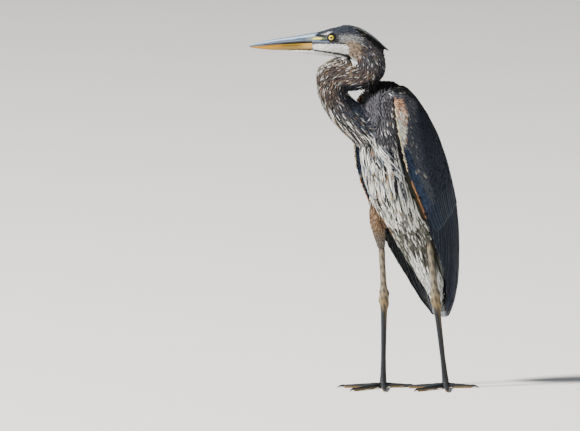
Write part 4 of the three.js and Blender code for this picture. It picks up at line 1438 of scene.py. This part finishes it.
eyes = {side: eye(f"eyeball_{side}", sign) for side, sign in SIDES.items()}
for side, eyeball in eyes.items():
    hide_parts(f"eye_{side}")


# ---- skin ----
LID_RADIUS, LID_THICK, LID_ASIDE = 7.2, 1.75, 17.4
BROW_ASIDE, BROW_RADII = 12.0, (9.6, 5.6, 8.6)
FACE_VOXEL, FLESH_VOXEL, LEG_VOXEL = 1.0, 2.4, 1.15
UNDER_WING = 3.0  # how deep the flesh lies next to the wings
SKIN_TINT = 0.6  # how bright the skin under the coat is, against the coat's ground


def brow(side):
    """A closed ellipsoid round the eye, for its socket and the brow over it."""
    centre = (EYE_AHEAD, side * BROW_ASIDE, EYE_RISE)
    polar, turn = sphere(18, 24, 0.02)
    shape = (np.sin(polar) * np.cos(turn), np.cos(polar), np.sin(polar) * np.sin(turn))
    rows = [c + r * s for c, r, s in zip(centre, BROW_RADII, shape)]
    rows = np.stack(np.broadcast_arrays(*rows), -1)
    return from_head(rows.reshape(-1, 3)), split(tube(rows))


def lid(side):
    """The rim of the eyelids, as a ring round the eye's axis."""
    turn, angle = circle(48)[:, None], circle(12)[None]
    out = LID_RADIUS + LID_THICK * np.cos(angle)
    aside = LID_ASIDE + LID_THICK * np.sin(angle) - 0.9 * np.sin(turn) ** 2
    ahead = EYE_AHEAD - 0.3 + out * np.cos(turn) * 1.04
    rise = EYE_RISE + out * np.sin(turn) * 0.97
    rows = np.stack([ahead, side * aside, rise], -1)
    a = np.arange(aside.size).reshape(aside.shape)
    b, d = np.roll(a, -1, 1), np.roll(a, -1, 0)
    quads = np.stack([a, b, np.roll(b, -1, 0), d], -1).reshape(-1, 4)
    return from_head(rows.reshape(-1, 3)), split(quads)


def sunk(surface, depths):
    """A surface's points moved in by the coat's depth, but by less where the part is thin."""
    room = surface.hit(surface.points - surface.normals * 0.2, -surface.normals, 60.0)
    return surface.points - surface.normals * np.minimum(depths, 0.3 * room)[:, None]


def wing_nearer(points, reach):
    return np.min([wing.distance(points) for wing in wing_outside.values()], 0) < reach


face_parts = [solid_of("head", grow=-0.2), solid_of("chin", grow=-0.3), solid_of("neck_upper", grow=-2.5)]
for side in SIDES.values():
    face_parts += [brow(side), lid(side)]
face = merged("face", face_parts, FACE_VOXEL, rounds=5)
ahead, aside, rise = to_head(face.points)
bare = np.maximum(inside(BARE_LORE, ahead, rise, 2.0),
                  step(from_eye(ahead, aside, rise), LIDS_OUT + 2.5, LIDS_OUT))
face_points = sunk(face, guides.read(face.points)["sizes"][:, 3] * (1 - bare) * step(ahead, 130, 60))

flesh_nodes = BODY_NODES + ["wing_left_coverts", "wing_right_coverts"]
flesh = envelope("flesh", flesh_nodes, FLESH_VOXEL, rounds=6)
depth = np.where(wing_nearer(flesh.points, 1.6), UNDER_WING, guides.read(flesh.points)["sizes"][:, 3])
flesh = merged("flesh", [(sunk(flesh, depth), split(flesh.faces))], FLESH_VOXEL, rounds=8)
flesh_colours = body_colours(flesh.points, flesh.normals, guides.read(flesh.points))
under_wing = wing_nearer(flesh.points, 4.5)[:, None]
flesh_colours = np.where(under_wing, wing_colours(flesh.points), flesh_colours) * SKIN_TINT


# ---- legs ----
SCUTE, SCUTE_DEPTH = 4.6, 0.32  # pitch and depth of the scales down the front of the leg and along the toes


def plates(distance):
    return np.abs(np.sin(math.pi * distance / SCUTE)) ** 0.5 - 0.7


def leg_nodes(side):
    parts = ["shank_{}", "tarsus_{}", "sole_{}"] + ["toe_{}_" + toe for toe in TOE_LENGTHS]
    return [part.format(side) for part in parts]


def leg_skin(side):
    """The bare part of a leg with its foot: points, faces and colours."""
    limb = merged("leg", [solid_of(node, grow=0.35) for node in leg_nodes(side)], LEG_VOXEL, rounds=4)
    points, normals = limb.points, limb.normals
    ankle, heel, knee = np.array([LEGS[side]["ankle"], LEGS[side]["heel"], LEGS[side]["thigh"][-1]], float)
    on_leg = step(points[:, 2], 14, 22)
    on_toe = 1 - on_leg
    scaly_leg = on_leg * step(-normals[:, 1], 0.1, 0.7) * step(points[:, 2], 210, 190)
    scaly_toe = on_toe * step(normals[:, 2], 0.1, 0.7)
    leg_plates, toe_plates = plates(points[:, 2]), plates(np.hypot(*(points[:, :2] - ankle[:2]).T))
    relief = SCUTE_DEPTH * (scaly_leg * leg_plates + scaly_toe * toe_plates)
    points = points + normals * relief[:, None]
    points[:, 2] = np.maximum(points[:, 2], 0.0)
    z = points[:, 2]
    middle = np.stack([read_off([p[[2, axis]] for p in (ankle, heel, knee)], z) for axis in (0, 1)], 1)
    across = unit(points[:, :2] - middle) @ np.array([DIAGONAL, DIAGONAL])
    # The heel swells all round, and has two knobs on either side.
    swell = 1.2 * bell(z, 180, 16) + 1.9 * np.maximum(across, 0) * (bell(z, 190, 6) + bell(z, 167, 7))
    swell = swell + 1.9 * np.maximum(-across, 0) * (bell(z, 176, 8) + 0.5 * bell(z, 196, 7))
    points = points + normals * (swell * on_leg)[:, None]
    z = points[:, 2]
    mottle = step(np.sin(points @ [0.5, 0.6, 0.23]) + np.sin(points @ [-0.41, 0.45, 0.39] + 2.0), -0.5, 1.5)
    pale = mix(LEG_PALE, LEG_OCHRE, 0.25 + 0.35 * step(z, 205, 170))
    tint = painted(
        LEG_DARK,
        (LEG_OCHRE, step(across, 0.0, 0.8) * (0.08 + 0.5 * step(z, 110, 165))),
        # painted highlight: lighter slate down the side of the leg that faces the key light
        (SLATE, step(across, -0.7, -0.95) * 0.5),
        (mix(pale, LEG_DARK, mottle * 0.7), step(z, 148, 176)),
        (mix(shade("25282c"), LEG_OCHRE * 1.1, step(z, 4.6, 2.2) * 0.9), on_toe),
    )
    seams = scaly_leg * step(leg_plates, -0.1, -0.5) + scaly_toe * step(toe_plates, -0.1, -0.5)
    return points, limb.faces, tint * (1 - 0.35 * seams)[:, None]


parts = [
    (face_points, face.faces, head_colours(face_points)),
    (flesh.points, flesh.faces, flesh_colours),
    *[leg_skin(side) for side in LEGS],
]
points, faces = joined([part[:2] for part in parts])
skin = make("skin", points, faces, SKIN, np.concatenate([part[2] for part in parts]))
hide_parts("head", "chin", *flesh_nodes)
for side in LEGS:
    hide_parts(*leg_nodes(side))


# ---- claws ----
# Share of the way along the claw, height of its middle, and radius.
CLAW_LINE = [[0, 3.6, 2.7], [0.3, 4.7, 2.5], [0.62, 4.2, 1.9], [0.86, 2.3, 1.15], [1, 0.35, 0.3]]
CLAW_LENGTH = 15.0
CLAW_ROOT = 3.0  # how far the claw reaches back into its toe
CLAW_NARROW = 0.72  # its width against its height


def heading(degrees):
    angle = math.radians(degrees)
    return np.array([math.sin(angle), -math.cos(angle), 0.0])


def claw(ankle, degrees, toe_length):
    """A hooked cone along a toe's way, flattened where it meets the floor."""
    share, height, radius = blended(CLAW_LINE, np.linspace(0, 1, 22)).T
    out = toe_length - CLAW_ROOT + share * (CLAW_LENGTH + CLAW_ROOT)
    line = np.array([ankle[0], ankle[1], 0.0]) + np.outer(out, heading(degrees))
    line[:, 2] = np.maximum(height, radius * 0.9 + 0.02)
    across = heading(degrees + 90)
    rise = np.cross(across, unit(np.gradient(line, axis=0)))
    angle = circle(16)
    sideways = CLAW_NARROW * radius[:, None] * np.cos(angle)
    upwards = radius[:, None] * np.sin(angle)
    rings = closed(line[:, None] + across * sideways[..., None] + rise[:, None] * upwards[..., None])
    rings[..., 2] = np.maximum(rings[..., 2], 0.0)
    return rings.reshape(-1, 3), tube(rings)[:, ::-1]


def talons(side):
    toes = LEGS[side]["toes"]
    points, faces = joined([claw(LEGS[side]["ankle"], way, TOE_LENGTHS[toe]) for toe, way in toes.items()])
    tint = mix(shade("15130f"), shade("4a4132"), step(points[:, 2], 3.0, 0.4) * 0.5)
    piece = make(f"talons_{side}", points, faces, CLAW, tint, points * 0.6)
    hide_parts(*[f"claw_{side}_{toe}" for toe in toes])
    return piece


claws = [talons(side) for side in LEGS]

# ---- what rides: every piece hangs from the root ----
everything = coat + [(skin, "belly_feathers"), (upper_bill, "bill_slate"), (lower_bill, "bill_orange")]
everything += [(piece, "eye") for piece in eyes.values()] + [(piece, "claw") for piece in claws]
for piece, slot in everything:
    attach(piece, "root")

# ---- floor, lights and camera ----
HALF_FLOOR = 200.0
floor_mesh = bpy.data.meshes.new("floor")
floor_corners = [(HALF_FLOOR * x, HALF_FLOOR * y, 0) for x, y in ((-1, -1), (1, -1), (1, 1), (-1, 1))]
floor_mesh.from_pydata(floor_corners, [], [(0, 1, 2, 3)])
n = Nodes("studio_floor")
floor_mesh.materials.append(n.finish((0.78, 0.78, 0.77, 1), n.ranged(n.noise(3.0), 0.3, 0.7, 0.8, 0.9)))
floor = add("floor", floor_mesh)

AZIMUTH, ELEVATION, DISTANCE = math.radians(45), math.radians(5), 24.0
TARGET = np.array([-0.1421, -0.0801, 0.3471])
LENS = 743.9


def towards(obj, target):
    obj.rotation_mode = "QUATERNION"
    obj.rotation_quaternion = (Vector(target) - obj.location).to_track_quat("-Z", "Y")


camera = add("camera", bpy.data.cameras.new("camera"))
camera.data.lens = LENS
camera.data.clip_end = 500
level = math.cos(ELEVATION)
back = np.array([math.sin(AZIMUTH) * level, -math.cos(AZIMUTH) * level, math.sin(ELEVATION)])
camera.location = Vector(TARGET + back * DISTANCE)
towards(camera, TARGET)
bpy.context.scene.camera = camera

# Each light: metres to the camera's left, towards the camera and up, its size, power and colour.
LIGHTS = {
    "key": (15.0, 7.0, 13.0, 4.2, 17500.0, (1.0, 0.965, 0.91)),
    "fill": (-14.0, 16.0, 8.0, 12.0, 900.0, (0.86, 0.92, 1.0)),
}
LIT_POINT = (0.0, 0.0, 0.4)
for name, (left, near, up, size, power, colour) in LIGHTS.items():
    lamp = bpy.data.lights.new(name, "AREA")
    lamp.shape = "DISK"
    lamp.size, lamp.energy, lamp.color = size, power, colour
    obj = add(name, lamp)
    obj.location = Vector(GAZE_WAY * left + GAZE_SIDE * near + UP * up)
    towards(obj, LIT_POINT)
world = bpy.data.worlds.new("studio")
world.use_nodes = True
background = world.node_tree.nodes["Background"].inputs
background["Color"].default_value = (0.86, 0.9, 0.96, 1)
background["Strength"].default_value = 0.22
bpy.context.scene.world = world
